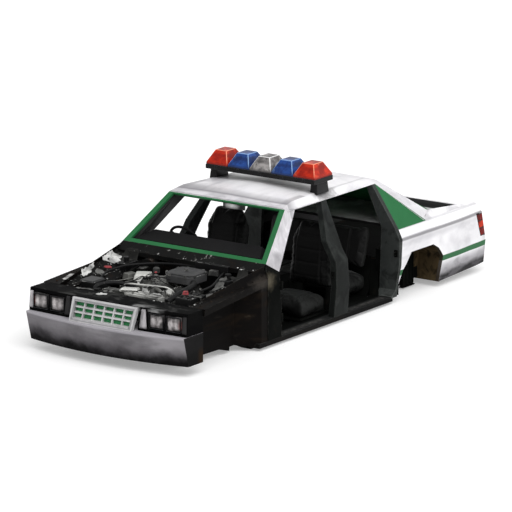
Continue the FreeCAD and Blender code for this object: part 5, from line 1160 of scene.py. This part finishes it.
def make_small_boxes():
    """Lids, caps and modules that stand about the bay."""
    lids, caps, coil, pale = (bmesh.new() for _ in range(4))
    middle = middle_of("fuse_box")
    add_block(lids, (middle.x, middle.y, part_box("fuse_box")[1][2] + 0.006), (0.16, 0.19, 0.014), taper=0.9)
    for side in SIDES:
        add_cap(caps, spot(side * 0.6, 1.275, 0.716), 0.02, ((0.0, 0.03), (0.75, 0.03), (1.0, 0.024)), 18)
    filler = ((0.0, 0.022), (0.4, 0.022), (0.45, 0.034), (0.9, 0.034), (1.0, 0.026))
    add_cap(caps, spot(-0.36, 0.5, 0.588), 0.03, filler, 18)
    piece_from("bay_box_lids", lids, GREY_LID, 0.003)
    piece_from("filler_caps", caps, BURNT_PLASTIC, 0.002)
    add_cap(coil, spot(-0.26, 1.3, 0.62), 0.052, ((0.0, 0.034), (0.8, 0.034), (1.0, 0.026)), 24)
    for bm, place, size, lean, heading, taper in (
        (coil, (0.36, 1.38, 0.69), (0.1, 0.06, 0.05), 0, 12, 0.85),
        (coil, (-0.44, 1.12, 0.6), (0.09, 0.12, 0.06), 0, -14, 0.85),
        (pale, (-0.235, 1.055, 0.636), (0.17, 0.2, 0.056), 0, 30, 0.86),
        (pale, (-0.235, 1.055, 0.666), (0.13, 0.15, 0.008), 0, 30, 0.94),
        (pale, (-0.05, 0.6, 0.634), (0.17, 0.14, 0.02), -8, 24, 0.9),
    ):
        add_block(bm, spot(*place), size, turned(lean, heading=heading), taper)
    piece_from("bay_modules", coil, ALLOY, 0.004)
    piece_from("pale_modules", pale, PALE_ALLOY, 0.005)


# Burnt sheets and ash

SHEET_STEP, SHEET_LIFT, SHEET_CRUMPLE, SHEET_THICKNESS = 0.012, 0.004, 0.01, 0.0016
SAG_ROUNDS = 40


def add_draped(bm, centre, size, heading, seed):
    """A ragged sheet that has sagged onto what lies under it in the bay."""
    columns, rows = (max(4, round(length / SHEET_STEP)) for length in size)
    turn = turned(heading=heading)
    offset = Vector((seed * 3.7, seed * 1.9, 0.0))
    flat, rest = {}, {}
    for row in range(rows + 1):
        for column in range(columns + 1):
            over, along = column / columns * 2 - 1, row / rows * 2 - 1
            ragged = noise.noise(Vector((over * 1.6, along * 1.6, 0.0)) + offset) * 0.55
            if abs(over) ** 3 + abs(along) ** 3 + ragged > 0.92:
                continue
            place = Vector(centre) + turn @ Vector((over * size[0] / 2, along * size[1] / 2, 0.0))
            hit, _ = seat_on(BAY_FACES, (place.x, place.y, HIGH_ABOVE), DOWN)
            if hit:
                flat[row, column] = hit
                rest[row, column] = hit.z + SHEET_LIFT
    level = {key: max(rest.values()) for key in flat}
    for _ in range(SAG_ROUNDS):
        for row, column in flat:
            beside = ((row + 1, column), (row - 1, column), (row, column + 1), (row, column - 1))
            near = [level[other] for other in beside if other in level]
            if near:
                level[row, column] = max(rest[row, column], sum(near) / len(near) - 0.2 * SHEET_STEP)
    made = {}
    for key, hit in flat.items():
        bump = noise.noise(Vector((hit.x, hit.y, 0.0)) * 28 + offset) * SHEET_CRUMPLE
        made[key] = bm.verts.new((hit.x, hit.y, max(rest[key], level[key] + bump)))
    for row, column in flat:
        corners = ((row, column), (row, column + 1), (row + 1, column + 1), (row + 1, column))
        if all(corner in made for corner in corners):
            bm.faces.new([made[corner] for corner in corners])


def make_finer(piece):
    modify(piece, "finer", "SUBSURF", levels=1, render_levels=1)


# What the fire left on the bay: pale sheets where the photograph is bright, grey and black round them.
# Each sheet is a half width, a station, a length, a width, a heading and a seed.
# The pale sheets are partly ash and partly painted highlights, along the far inner wing's edge and on parts
# in the bay.
CRUSTS = (
    ("pale_crusts", WHITE_ASH, (
        (-0.781, 0.903, 0.27, 0.08, 14, 1), (-0.818, 0.646, 0.22, 0.07, 12, 2),
        (-0.787, 1.27, 0.2, 0.22, 20, 3), (-0.118, 0.915, 0.17, 0.15, -30, 4),
        (0.03, 0.72, 0.2, 0.11, -20, 5), (0.15, 0.765, 0.14, 0.11, -20, 6),
        (0.256, 0.618, 0.09, 0.12, -20, 7), (-0.184, 0.33, 0.1, 0.13, 30, 8),
        (-0.11, 1.085, 0.05, 0.11, 30, 9), (0.072, 0.965, 0.035, 0.06, 0, 10),
        (0.23, 0.775, 0.03, 0.16, 8, 11), (0.745, 0.56, 0.2, 0.03, 25, 12), (0.72, 0.66, 0.16, 0.025, 30, 13),
    )),
    ("grey_crusts", GREY_ASH, (
        (-0.455, 0.455, 0.14, 0.22, 25, 21), (-0.42, 1.29, 0.14, 0.16, 30, 22),
        (-0.46, 1.07, 0.2, 0.12, -15, 23), (-0.33, 0.72, 0.24, 0.14, 10, 24),
        (0.14, 0.8, 0.14, 0.3, 10, 25), (0.36, 0.86, 0.16, 0.1, 35, 26), (0.56, 1.16, 0.22, 0.14, -20, 27),
        (-0.24, 0.56, 0.16, 0.16, 15, 28), (0.44, 0.58, 0.1, 0.2, 8, 29), (-0.6, 0.66, 0.16, 0.1, 0, 30),
        (-0.16, 1.3, 0.16, 0.24, 12, 31), (0.03, 0.7, 0.1, 0.3, 6, 32), (0.6, 0.54, 0.06, 0.22, -6, 33),
        (-0.68, 0.98, 0.1, 0.14, 6, 34), (0.6, 0.93, 0.14, 0.12, 12, 35),
    )),
    ("black_crusts", BLACK_ASH, (
        (-0.3, 0.95, 0.3, 0.2, 20, 41), (0.02, 1.36, 0.12, 0.34, 5, 42), (0.44, 1.3, 0.2, 0.16, 0, 43),
        (-0.2, 0.5, 0.1, 0.36, 0, 44), (0.42, 0.7, 0.16, 0.22, 12, 45), (-0.66, 1.38, 0.2, 0.2, 0, 46),
        (0.66, 1.36, 0.22, 0.16, 0, 47), (-0.5, 0.55, 0.12, 0.18, 0, 48),
    )),
)


def make_bay_crusts():
    for name, material, sheets in CRUSTS:
        bm = bmesh.new()
        for half, station, length, width, heading, seed in sheets:
            add_draped(bm, spot(half, station, 0.0), (width, length), heading, seed)
        loose = [vert for vert in bm.verts if not vert.link_faces]
        bmesh.ops.delete(bm, geom=loose, context="VERTS")
        piece = piece_from(name, bm, material)
        modify(piece, "thickness", "SOLIDIFY", thickness=SHEET_THICKNESS, offset=1.0)
        make_finer(piece)


def scatter(name, count, sizes, material, seed):
    """Burnt flakes and crumbs dropped onto the bay, each lying on what is under it."""
    draw = random.Random(seed)
    bm = bmesh.new()
    for _ in range(count):
        start = spot(draw.uniform(-0.8, 0.8), draw.uniform(0.44, 1.46), HIGH_ABOVE)
        place, normal = seat_on(BAY_FACES, start, DOWN)
        size = draw.uniform(*sizes) * draw.uniform(0.4, 1.0)
        shares = (size, size * draw.uniform(0.35, 0.9), size * draw.uniform(0.12, 0.4))
        spin = Matrix.Rotation(draw.uniform(0, math.tau), 3, "Z")
        if place is None or normal.z < 0.35 or place.z < 0.42:
            continue
        face = normal.to_track_quat("Z", "Y").to_matrix()
        made = bmesh.ops.create_icosphere(bm, subdivisions=1, radius=0.5)
        for vert in made["verts"]:
            rough = 1 + noise.noise(vert.co * 3 + Vector((size * 999, place.x * 40, place.y * 40))) * 0.5
            local = Vector(vert.co[axis] * shares[axis] * rough for axis in range(3))
            vert.co = place + face @ (spin @ local) + normal * shares[2] * 0.3
    piece_from(name, bm, material, smooth=False)


def make_bay_litter():
    scatter("white_flakes", 260, (0.008, 0.03), WHITE_ASH, 11)
    scatter("grey_flakes", 420, (0.008, 0.036), GREY_ASH, 12)
    scatter("black_crumbs", 520, (0.01, 0.05), BLACK_ASH, 13)


# Cabin

SEAT_HALF = middle_of("front_seat_left").x
SEAT_SWELL, SEAT_VOXEL = 0.022, 0.009
PRESSURE, SWELL_FRAMES = 2.0, 20
COLUMN_SLOPE = math.radians(27)


def sew(piece, across, width, depth, facing, axis=0):
    """Presses sewn channels into the side of a pad that faces a way, at places along one axis."""
    facing = Vector(facing)
    vertices = piece.data.vertices
    for vert, normal in zip(vertices, [vert.normal.copy() for vert in vertices]):
        turn = normal.dot(facing)
        if turn < 0.15:
            continue
        for place in across:
            gap = (vert.co[axis] - place) / width
            if abs(gap) < 3:
                vert.co -= facing * depth * math.exp(-gap * gap) * min(1.0, turn * 1.4)


def stuffed(name, rings):
    """A pad that has swelled like stuffed fabric, no point of it by more than SEAT_SWELL."""
    bm = bmesh.new()
    skin(bm, rings)
    bmesh.ops.recalc_face_normals(bm, faces=bm.faces)
    piece = linked_mesh(name, bm)
    modify(piece, "even_mesh", "REMESH", mode="VOXEL", voxel_size=SEAT_VOXEL)
    apply_modifiers(piece)
    before = [vert.co.copy() for vert in piece.data.vertices]
    cloth = modify(piece, "stuffing", "CLOTH")
    cloth.settings.use_pressure = True
    cloth.settings.uniform_pressure_force = PRESSURE
    cloth.settings.effector_weights.gravity = 0.0
    cloth.point_cache.frame_start = 1
    cloth.point_cache.frame_end = SWELL_FRAMES
    for frame_number in range(1, SWELL_FRAMES + 1):
        bpy.context.scene.frame_set(frame_number)
    apply_modifiers(piece)
    bpy.context.scene.frame_set(1)
    for vert, start in zip(piece.data.vertices, before):
        moved = vert.co - start
        if moved.length > SEAT_SWELL:
            vert.co = start + moved.normalized() * SEAT_SWELL
    return piece


def finish_pad(piece, node):
    make_finer(piece)
    round_edges(piece)
    finish_piece(piece, VINYL)
    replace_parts(piece, node)


def twin(piece, name):
    """A copy of a left seat's pad, moved across to the right seat."""
    mesh = piece.data.copy()
    for vert in mesh.vertices:
        vert.co.x -= 2 * SEAT_HALF
    return link(bpy.data.objects.new(name, mesh))


def make_front_seats():
    """Two high-backed front seats: cushion and back of stuffed vinyl on a steel base."""
    cushion = stuffed("front_cushion_left", [
        oblong(spot(SEAT_HALF, station, height), half, deep, UP)
        for station, height, half, deep in (
            (2.268, 0.2, 0.22, 0.05), (2.28, 0.2, 0.238, 0.082), (2.33, 0.196, 0.244, 0.098),
            (2.6, 0.188, 0.244, 0.096), (2.66, 0.184, 0.236, 0.085), (2.68, 0.182, 0.21, 0.05),
        )
    ])
    foot, lean = 0.31, 0.1
    back = stuffed("front_back_left", [
        oblong(spot(SEAT_HALF, 2.782 + (height - foot) * lean, height), half, deep, REARWARDS)
        for height, half, deep in (
            (foot, 0.21, 0.035), (0.335, 0.232, 0.068), (0.42, 0.24, 0.08), (0.68, 0.24, 0.079),
            (0.76, 0.236, 0.074), (0.8, 0.222, 0.066), (0.86, 0.19, 0.058), (0.915, 0.158, 0.05),
            (0.938, 0.138, 0.036), (0.948, 0.11, 0.015),
        )
    ])
    pads = ((cushion, back), (twin(cushion, "front_cushion_right"), twin(back, "front_back_right")))
    for (cushion, back), middle, side in zip(pads, (SEAT_HALF, -SEAT_HALF), ("left", "right")):
        node = "front_seat_" + side
        sew(cushion, (middle - 0.15, middle + 0.15), 0.01, 0.012, UP)
        sew(cushion, [NOSE_Y + 2.36 + 0.11 * row for row in range(3)], 0.009, 0.005, UP, 1)
        sew(back, (middle - 0.15, middle + 0.15), 0.01, 0.012, FORWARDS)
        sew(back, [0.42 + 0.13 * row for row in range(4)], 0.01, 0.005, FORWARDS, 2)
        finish_pad(cushion, node)
        finish_pad(back, node)
        base = bmesh.new()
        for over in (-0.104, 0.104):
            add_block(base, spot(middle + over, 2.48, 0.066), (0.04, 0.4, 0.03), taper=0.7)
        add_block(base, spot(middle, 2.48, 0.088), (0.44, 0.38, 0.02), taper=0.95)
        for over in (-0.22, 0.22):
            add_block(base, spot(middle + over, 2.78, 0.21), (0.03, 0.14, 0.22), turned(lean=-6), 0.8)
        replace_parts(piece_from("front_seat_base_" + side, base, CABIN_STEEL, 0.003), node)


def make_rear_seat():
    """The rear bench: one cushion and one back, each with sewn channels."""
    cushion = stuffed("rear_cushion", [
        oblong(spot(0.0, station, height), half, deep, UP, 56, 0.3)
        for station, height, half, deep in (
            (3.218, 0.18, 0.565, 0.08), (3.23, 0.18, 0.582, 0.098), (3.28, 0.18, 0.59, 0.102),
            (3.55, 0.182, 0.59, 0.094), (3.6, 0.182, 0.584, 0.08), (3.622, 0.182, 0.56, 0.05),
        )
    ])
    seams = (-0.4, -0.2, 0.0, 0.2, 0.4)
    sew(cushion, seams, 0.009, 0.014, UP)
    finish_pad(cushion, "rear_seat_cushion")
    lean = 0.126 / 0.438
    back = stuffed("rear_back", [
        oblong(spot(0.0, 3.575 + (height - 0.3) * lean, height), half, deep, REARWARDS, 56, 0.3)
        for height, half, deep in (
            (0.322, 0.56, 0.02), (0.34, 0.58, 0.04), (0.42, 0.585, 0.044), (0.64, 0.584, 0.044),
            (0.7, 0.57, 0.036), (0.715, 0.54, 0.018),
        )
    ])
    sew(back, seams, 0.009, 0.014, FORWARDS)
    finish_pad(back, "rear_seat_back")


def make_dash_fittings():
    """Burnt-out dials, radio frame, vents and glovebox seam on the dash, with the wheel's boss and pedals."""
    dash, behind = faces_of("dashboard"), 2.6
    frames, dials, boss, pedals = (bmesh.new() for _ in range(4))
    for half, height, wide, tall in (
        (0.0, 0.72, 0.2, 0.07), (0.0, 0.63, 0.2, 0.05), (0.46, 0.8, 0.12, 0.045),
        (-0.7, 0.8, 0.12, 0.045), (0.5, 0.68, 0.34, 0.12),
    ):
        for place, normal in seats(dash, [spot(half, behind, height)], FORWARDS):
            turn = normal.to_track_quat("Y", "Z").to_matrix()
            add_block(frames, place + normal * 0.003, (wide, 0.01, tall), turn)
    dial = ((0.0, 0.044), (0.6, 0.044), (1.0, 0.038))
    for place, normal in seats(dash, [spot(half, behind, 0.8) for half in (-0.53, -0.43, -0.33)], FORWARDS):
        add_turned(dials, place - normal * 0.002, place + normal * 0.01, dial, 28)
    piece_from("dash_frames", frames, BURNT_PLASTIC, 0.002)
    piece_from("dash_dials", dials, MIRROR, 0.001)
    middle = middle_of("steering_wheel")
    axis = Vector((0.0, math.cos(COLUMN_SLOPE), math.sin(COLUMN_SLOPE)))
    hub = ((0.0, 0.052), (0.6, 0.05), (0.85, 0.04), (1.0, 0.018))
    add_turned(boss, middle - axis * 0.012, middle + axis * 0.03, hub, 24)
    piece_from("wheel_boss", boss, CABIN, body="steering")
    for half, wide in ((-0.4, 0.1), (-0.26, 0.06)):
        add_block(pedals, spot(half, 1.76, 0.24), (wide, 0.014, 0.07), turned(lean=-30), 0.9)
        add_rod(pedals, spot(half, 1.765, 0.26), spot(half, 1.7, 0.56), 0.007)
    piece_from("pedals", pedals, CHARRED, 0.003)


# Door openings

def make_opening_trim():
    """Hinge leaves, strikers and sill plates of the four door openings."""
    posts, catches = faces_of("hinge_posts", "b_pillars"), faces_of("b_pillars", "rear_jambs")
    plates, bolts, treads = bmesh.new(), bmesh.new(), bmesh.new()
    for side in SIDES:
        hinges = [
            spot(side * (side_half(height) - 0.045), station, height)
            for station in (2.4, 3.3) for height in (0.26, 0.58)
        ]
        for place, _ in seats(posts, hinges, FORWARDS):
            add_block(plates, place + shift(along=0.004), (0.05, 0.01, 0.085))
            pin = place + shift(side * 0.02, 0.014)
            add_rod(plates, pin - shift(up=0.04), pin + shift(up=0.04), 0.008)
            for over, up in ((-0.014, -0.026), (-0.014, 0.026), (0.008, 0.0)):
                add_bolt(bolts, place + shift(side * over, 0.009, up), REARWARDS, 0.0055, 0.005)
        strikers = [spot(side * (side_half(0.5) - 0.04), station, 0.5) for station in (2.2, 3.2)]
        for place, _ in seats(catches, strikers, REARWARDS):
            add_block(plates, place - shift(along=0.003), (0.04, 0.008, 0.07))
            end = place - shift(along=0.03)
            for up in (0.016, -0.016):
                add_rod(plates, place + shift(up=up), end + shift(up=up), 0.006)
            add_rod(plates, end + shift(up=0.02), end - shift(up=0.02), 0.006)
    piece_from("hinge_leaves_and_strikers", plates, CABIN_STEEL, 0.0015)
    piece_from("hinge_bolts", bolts, CABIN_STEEL, 0.0005)
    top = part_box("sills")[1][2]
    for side in SIDES:
        for start, end in ((1.78, 2.54), (2.9, 3.56)):
            station, length = (start + end) / 2, end - start
            add_block(treads, spot(side * 0.842, station, top + 0.001), (0.06, length, 0.003), taper=0.97)
            for rib in range(5):
                place = spot(side * (0.822 + 0.01 * rib), station, top + 0.0035)
                add_block(treads, place, (0.003, length - 0.03, 0.003), taper=0.8)
    piece_from("sill_plates", treads, SILL, 0.001)


# Light bar, roof and tail

def make_light_bar_trim():
    """Clips and end bolts of the light bar, and a gasket under each lamp."""
    low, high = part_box("light_bar_base")
    foot, middle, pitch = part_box("beacon_clear")[0][2], middle_of("light_bar_base").y, 0.258
    clips, gaskets, bolts = bmesh.new(), bmesh.new(), bmesh.new()
    for along in (low[1], high[1]):
        for half in (-0.52, -0.26, 0.0, 0.26, 0.52):
            add_block(clips, (half, along, foot - 0.018), (0.034, 0.006, 0.028))
    for place in range(-2, 3):
        add_block(gaskets, (place * pitch, middle, foot + 0.002), (0.25, high[1] - low[1] - 0.012, 0.006))
    piece_from("light_bar_clips", clips, BAR, 0.001)
    piece_from("beacon_gaskets", gaskets, BAR, 0.001)
    heads = [spot(side * 0.6, station, 1.5) for side in SIDES for station in (2.72, 2.86)]
    seat_bolts(bolts, faces_of("roof_panel", "light_bar_base"), heads, DOWN, 0.008)
    piece_from("light_bar_bolts", bolts, ALLOY, 0.0005)


def make_roof_trim():
    """Gutters along the roof's edges."""
    roof = faces_of("roof_panel", "a_pillars")
    start, end, steps = 2.13, 3.56, 8
    gutters = []
    for side in SIDES:
        starts = [spot(side * 2.0, start + (end - start) * step / steps, 1.186) for step in range(steps + 1)]
        gutters.append([place + shift(side * 0.002) for place, _ in seats(roof, starts, (-side, 0.0, 0.0))])
    pipes("roof_gutters", gutters, 0.005, ROOF)


def make_tail_trim():
    """Bumper guards, plate holder and latch at the tail."""
    low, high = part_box("rear_bumper")
    guards, holder, catch = bmesh.new(), bmesh.new(), bmesh.new()
    for side in SIDES:
        guard = (side * 0.33, high[1] - 0.012, (low[2] + high[2]) / 2)
        add_block(guards, guard, (0.07, 0.02, high[2] - low[2] - 0.03), taper=0.8)
    piece_from("rear_bumper_guards", guards, BURNT_PLASTIC, 0.005)
    tail = faces_of("tail_panel", "rear_bumper")
    for place, normal in seats(tail, [(0.0, 5.0, 0.47)], FORWARDS):
        turn = normal.to_track_quat("Y", "Z").to_matrix()
        add_block(holder, place + normal * 0.004, (0.32, 0.008, 0.16), turn)
        for side in SIDES:
            add_block(holder, place + normal * 0.009 + shift(up=side * 0.078), (0.33, 0.008, 0.008), turn)
            add_block(holder, place + normal * 0.009 + shift(side * 0.16), (0.008, 0.008, 0.15), turn)
            add_bolt(holder, place + normal * 0.008 + shift(side * 0.12, up=0.06), normal, 0.006, 0.005)
    piece_from("plate_holder", holder, GREY_LID, 0.0015)
    for place, _ in seats(tail, [spot(0.0, 4.9, 0.62)], REARWARDS):
        add_block(catch, place - shift(along=0.006), (0.09, 0.016, 0.05), taper=0.8)
        bar = place + shift(0.0, -0.022, 0.01)
        add_rod(catch, bar - shift(0.024), bar + shift(0.024), 0.006)
        for side in SIDES:
            leg = place + shift(side * 0.024, up=0.01)
            add_rod(catch, leg, leg - shift(along=0.024), 0.005)
    piece_from("boot_latch", catch, ALLOY, 0.002)


def lens_corner(panel, side, height, rear, inset, lift):
    """A corner of a side lens, seated on the body's side; None where nothing is there."""
    share = (0.634 - height) / 0.248
    station = 5.141 + 0.106 * share - inset if rear else 5.079 + 0.094 * share + inset
    place, _ = seat_on(panel, spot(side * 2.0, station, height), (-side, 0.0, 0.0))
    return place + shift(side * lift) if place else None


def make_side_lenses():
    """Tail lamps' cells that wrap round onto the body's sides, each side in its black frame."""
    cells, frames = bmesh.new(), bmesh.new()
    for side, node in ((1, "quarter_panel_left"), (-1, "quarter_panel_right")):
        panel = faces_of(node, "tail_lamps")
        for bm, bottom, top, inset, proud in (
            (frames, 0.386, 0.634, 0.0, 0.0015), (cells, 0.394, 0.468, 0.006, 0.004),
            (cells, 0.476, 0.546, 0.006, 0.004), (cells, 0.554, 0.626, 0.006, 0.004),
        ):
            shape = []
            for shrink, lift in ((0.0, -0.003), (0.0, proud - 0.001), (0.002, proud)):
                foot, head = bottom + shrink, top - shrink
                shape.append([
                    lens_corner(panel, side, height, rear, inset + shrink, lift)
                    for height, rear in ((foot, False), (foot, True), (head, True), (head, False))
                ])
            if all(place for ring in shape for place in ring):
                skin(bm, shape)
    piece_from("side_lens_frames", frames, BAR)
    piece_from("side_lens_cells", cells, TAIL, 0.0008)


def make_arch_plates():
    """Ribbed splash plates in the rear arches: one beside each spring, one behind each rear jamb."""
    plates = bmesh.new()
    for side in SIDES:
        for (half, station, height), size, taper in (
            ((0.638, 4.257, 0.188), (0.03, 0.2, 0.34), 0.97),
            *(((0.656, station, 0.19), (0.01, 0.014, 0.3), 0.9) for station in (4.17, 4.228, 4.286, 4.344)),
            *(((0.642, 4.257, height), (0.05, 0.212, 0.012), 1.0) for height in (0.022, 0.352)),
            ((0.752, 3.741, 0.28), (0.27, 0.006, 0.43), 1.0),
            ((0.638, 4.405, 0.2), (0.02, 0.11, 0.25), 0.97),
            ((0.64, 3.66, 0.052), (0.24, 0.15, 0.006), 1.0),
            *(((half, 3.746, 0.28), (0.014, 0.008, 0.38), 0.8) for half in (0.68, 0.75, 0.82)),
        ):
            add_block(plates, spot(side * half, station, height), size, taper=taper)
    piece_from("arch_plates", plates, ARCH_STEEL, 0.002)


def make_frame_fixings():
    """Bolts along the inner wings' ledges and the chassis rails."""
    bolts = bmesh.new()
    ledge = faces_of("inner_wings")
    for side in SIDES:
        starts = [
            spot(side * (0.84 + 0.03 * (station - 0.5)), station, HIGH_ABOVE)
            for station in (0.5, 0.66, 0.82, 0.98, 1.14, 1.3, 1.44)
        ]
        for place, normal in seats(ledge, starts, DOWN):
            if place.z > 0.55:
                add_bolt(bolts, place, normal, 0.008, 0.007)
    rails = faces_of("frame_rails", "front_subframe", "rear_subframe")
    for side in SIDES:
        starts = [
            spot(side * 1.2, station, 0.2 if station < 1.2 or station > 3.7 else 0.03)
            for station in (0.3, 0.5, 0.8, 1.25, 1.5, 2.0, 2.5, 3.0, 3.5, 3.95, 4.3, 4.7, 5.0)
        ]
        seat_bolts(bolts, rails, starts, (-side, 0.0, 0.0), 0.011, 0.009)
    piece_from("frame_bolts", bolts, FRAME_STEEL, 0.0008)


for make in (
    dress_nodes, make_lamp_fronts, make_corner_lenses, make_grille_lip, make_air_cleaner_lid,
    make_engine_top, make_bay_pipes, make_battery_top, make_small_boxes, make_bay_crusts,
    make_bay_litter, make_front_seats, make_rear_seat, make_dash_fittings, make_opening_trim,
    make_light_bar_trim, make_roof_trim, make_tail_trim, make_side_lenses, make_arch_plates,
    make_frame_fixings,
):
    make()


# Studio and camera

TARGET = Vector((0.0796, -0.208, 0.60))
AZIMUTH, ELEVATION = math.radians(35.373), math.radians(13.699)
DISTANCE, FARTHEST = 48.4309, 400.0
SENSOR, LENS = 36.0, 351.5625
FLOOR_REACH, FLOOR_DROP = 70.0, 0.001
FLOOR_GLOW, SKY_LEVEL = 0.3, 0.5
WHITE_LIGHT, PALE_GREY = (1.0, 1.0, 1.0, 1.0), (0.8, 0.8, 0.8, 1.0)


def make_camera():
    """The photograph's long lens, looking down on the car's left front corner."""
    data = bpy.data.cameras.new("camera")
    data.sensor_width, data.lens, data.clip_end = SENSOR, LENS, FARTHEST
    camera = link(bpy.data.objects.new("camera", data))
    level = math.cos(ELEVATION)
    back = Vector((math.sin(AZIMUTH) * level, -math.cos(AZIMUTH) * level, math.sin(ELEVATION)))
    camera.location = TARGET + back * DISTANCE
    camera.rotation_mode = "QUATERNION"
    camera.rotation_quaternion = (-back).to_track_quat("-Z", "Y")
    bpy.context.scene.camera = camera


def shown_rays(tree):
    """1 for what the camera sees straight, in a mirror or through glass."""
    rays = tree.nodes.new("ShaderNodeLightPath").outputs
    direct = number(tree, "MAXIMUM", rays["Is Camera Ray"], rays["Is Glossy Ray"])
    return number(tree, "MAXIMUM", direct, rays["Is Transmission Ray"])


def make_floor():
    """Pale floor that reads as white round the car and still takes its shadow."""
    bm = bmesh.new()
    bmesh.ops.create_grid(bm, x_segments=2, y_segments=2, size=FLOOR_REACH)
    floor = linked_mesh("floor", bm)
    floor.location.z = -FLOOR_DROP
    material = bpy.data.materials.new("studio_floor")
    material.use_nodes = True
    tree = material.node_tree
    shader = tree.nodes["Principled BSDF"].inputs
    shader["Base Color"].default_value = PALE_GREY
    shader["Roughness"].default_value = 0.9
    shader["Emission Color"].default_value = WHITE_LIGHT
    feed(tree, shader["Emission Strength"], times(tree, shown_rays(tree), FLOOR_GLOW))
    floor.data.materials.append(material)


def make_lights():
    """Soft sky all round and two broad lights, the stronger from above the car's left front."""
    world = bpy.context.scene.world = bpy.data.worlds.new("studio")
    world.use_nodes = True
    tree = world.node_tree
    sky = tree.nodes["Background"].inputs
    sky["Color"].default_value = WHITE_LIGHT
    behind = times(tree, shown_rays(tree), 1.0 - SKY_LEVEL)
    feed(tree, sky["Strength"], plus(tree, behind, SKY_LEVEL))
    for name, towards, spread, power in (
        ("key_light", (0.62, -0.55, 1.0), 50.0, 2.0), ("fill_light", (1.0, 0.5, 0.5), 70.0, 0.6),
    ):
        data = bpy.data.lights.new(name, "SUN")
        data.angle, data.energy = math.radians(spread), power
        lamp = link(bpy.data.objects.new(name, data))
        lamp.rotation_euler = Vector(towards).to_track_quat("Z", "Y").to_euler()


make_camera()
make_floor()
make_lights()
bpy.context.scene.view_settings.view_transform = "Standard"
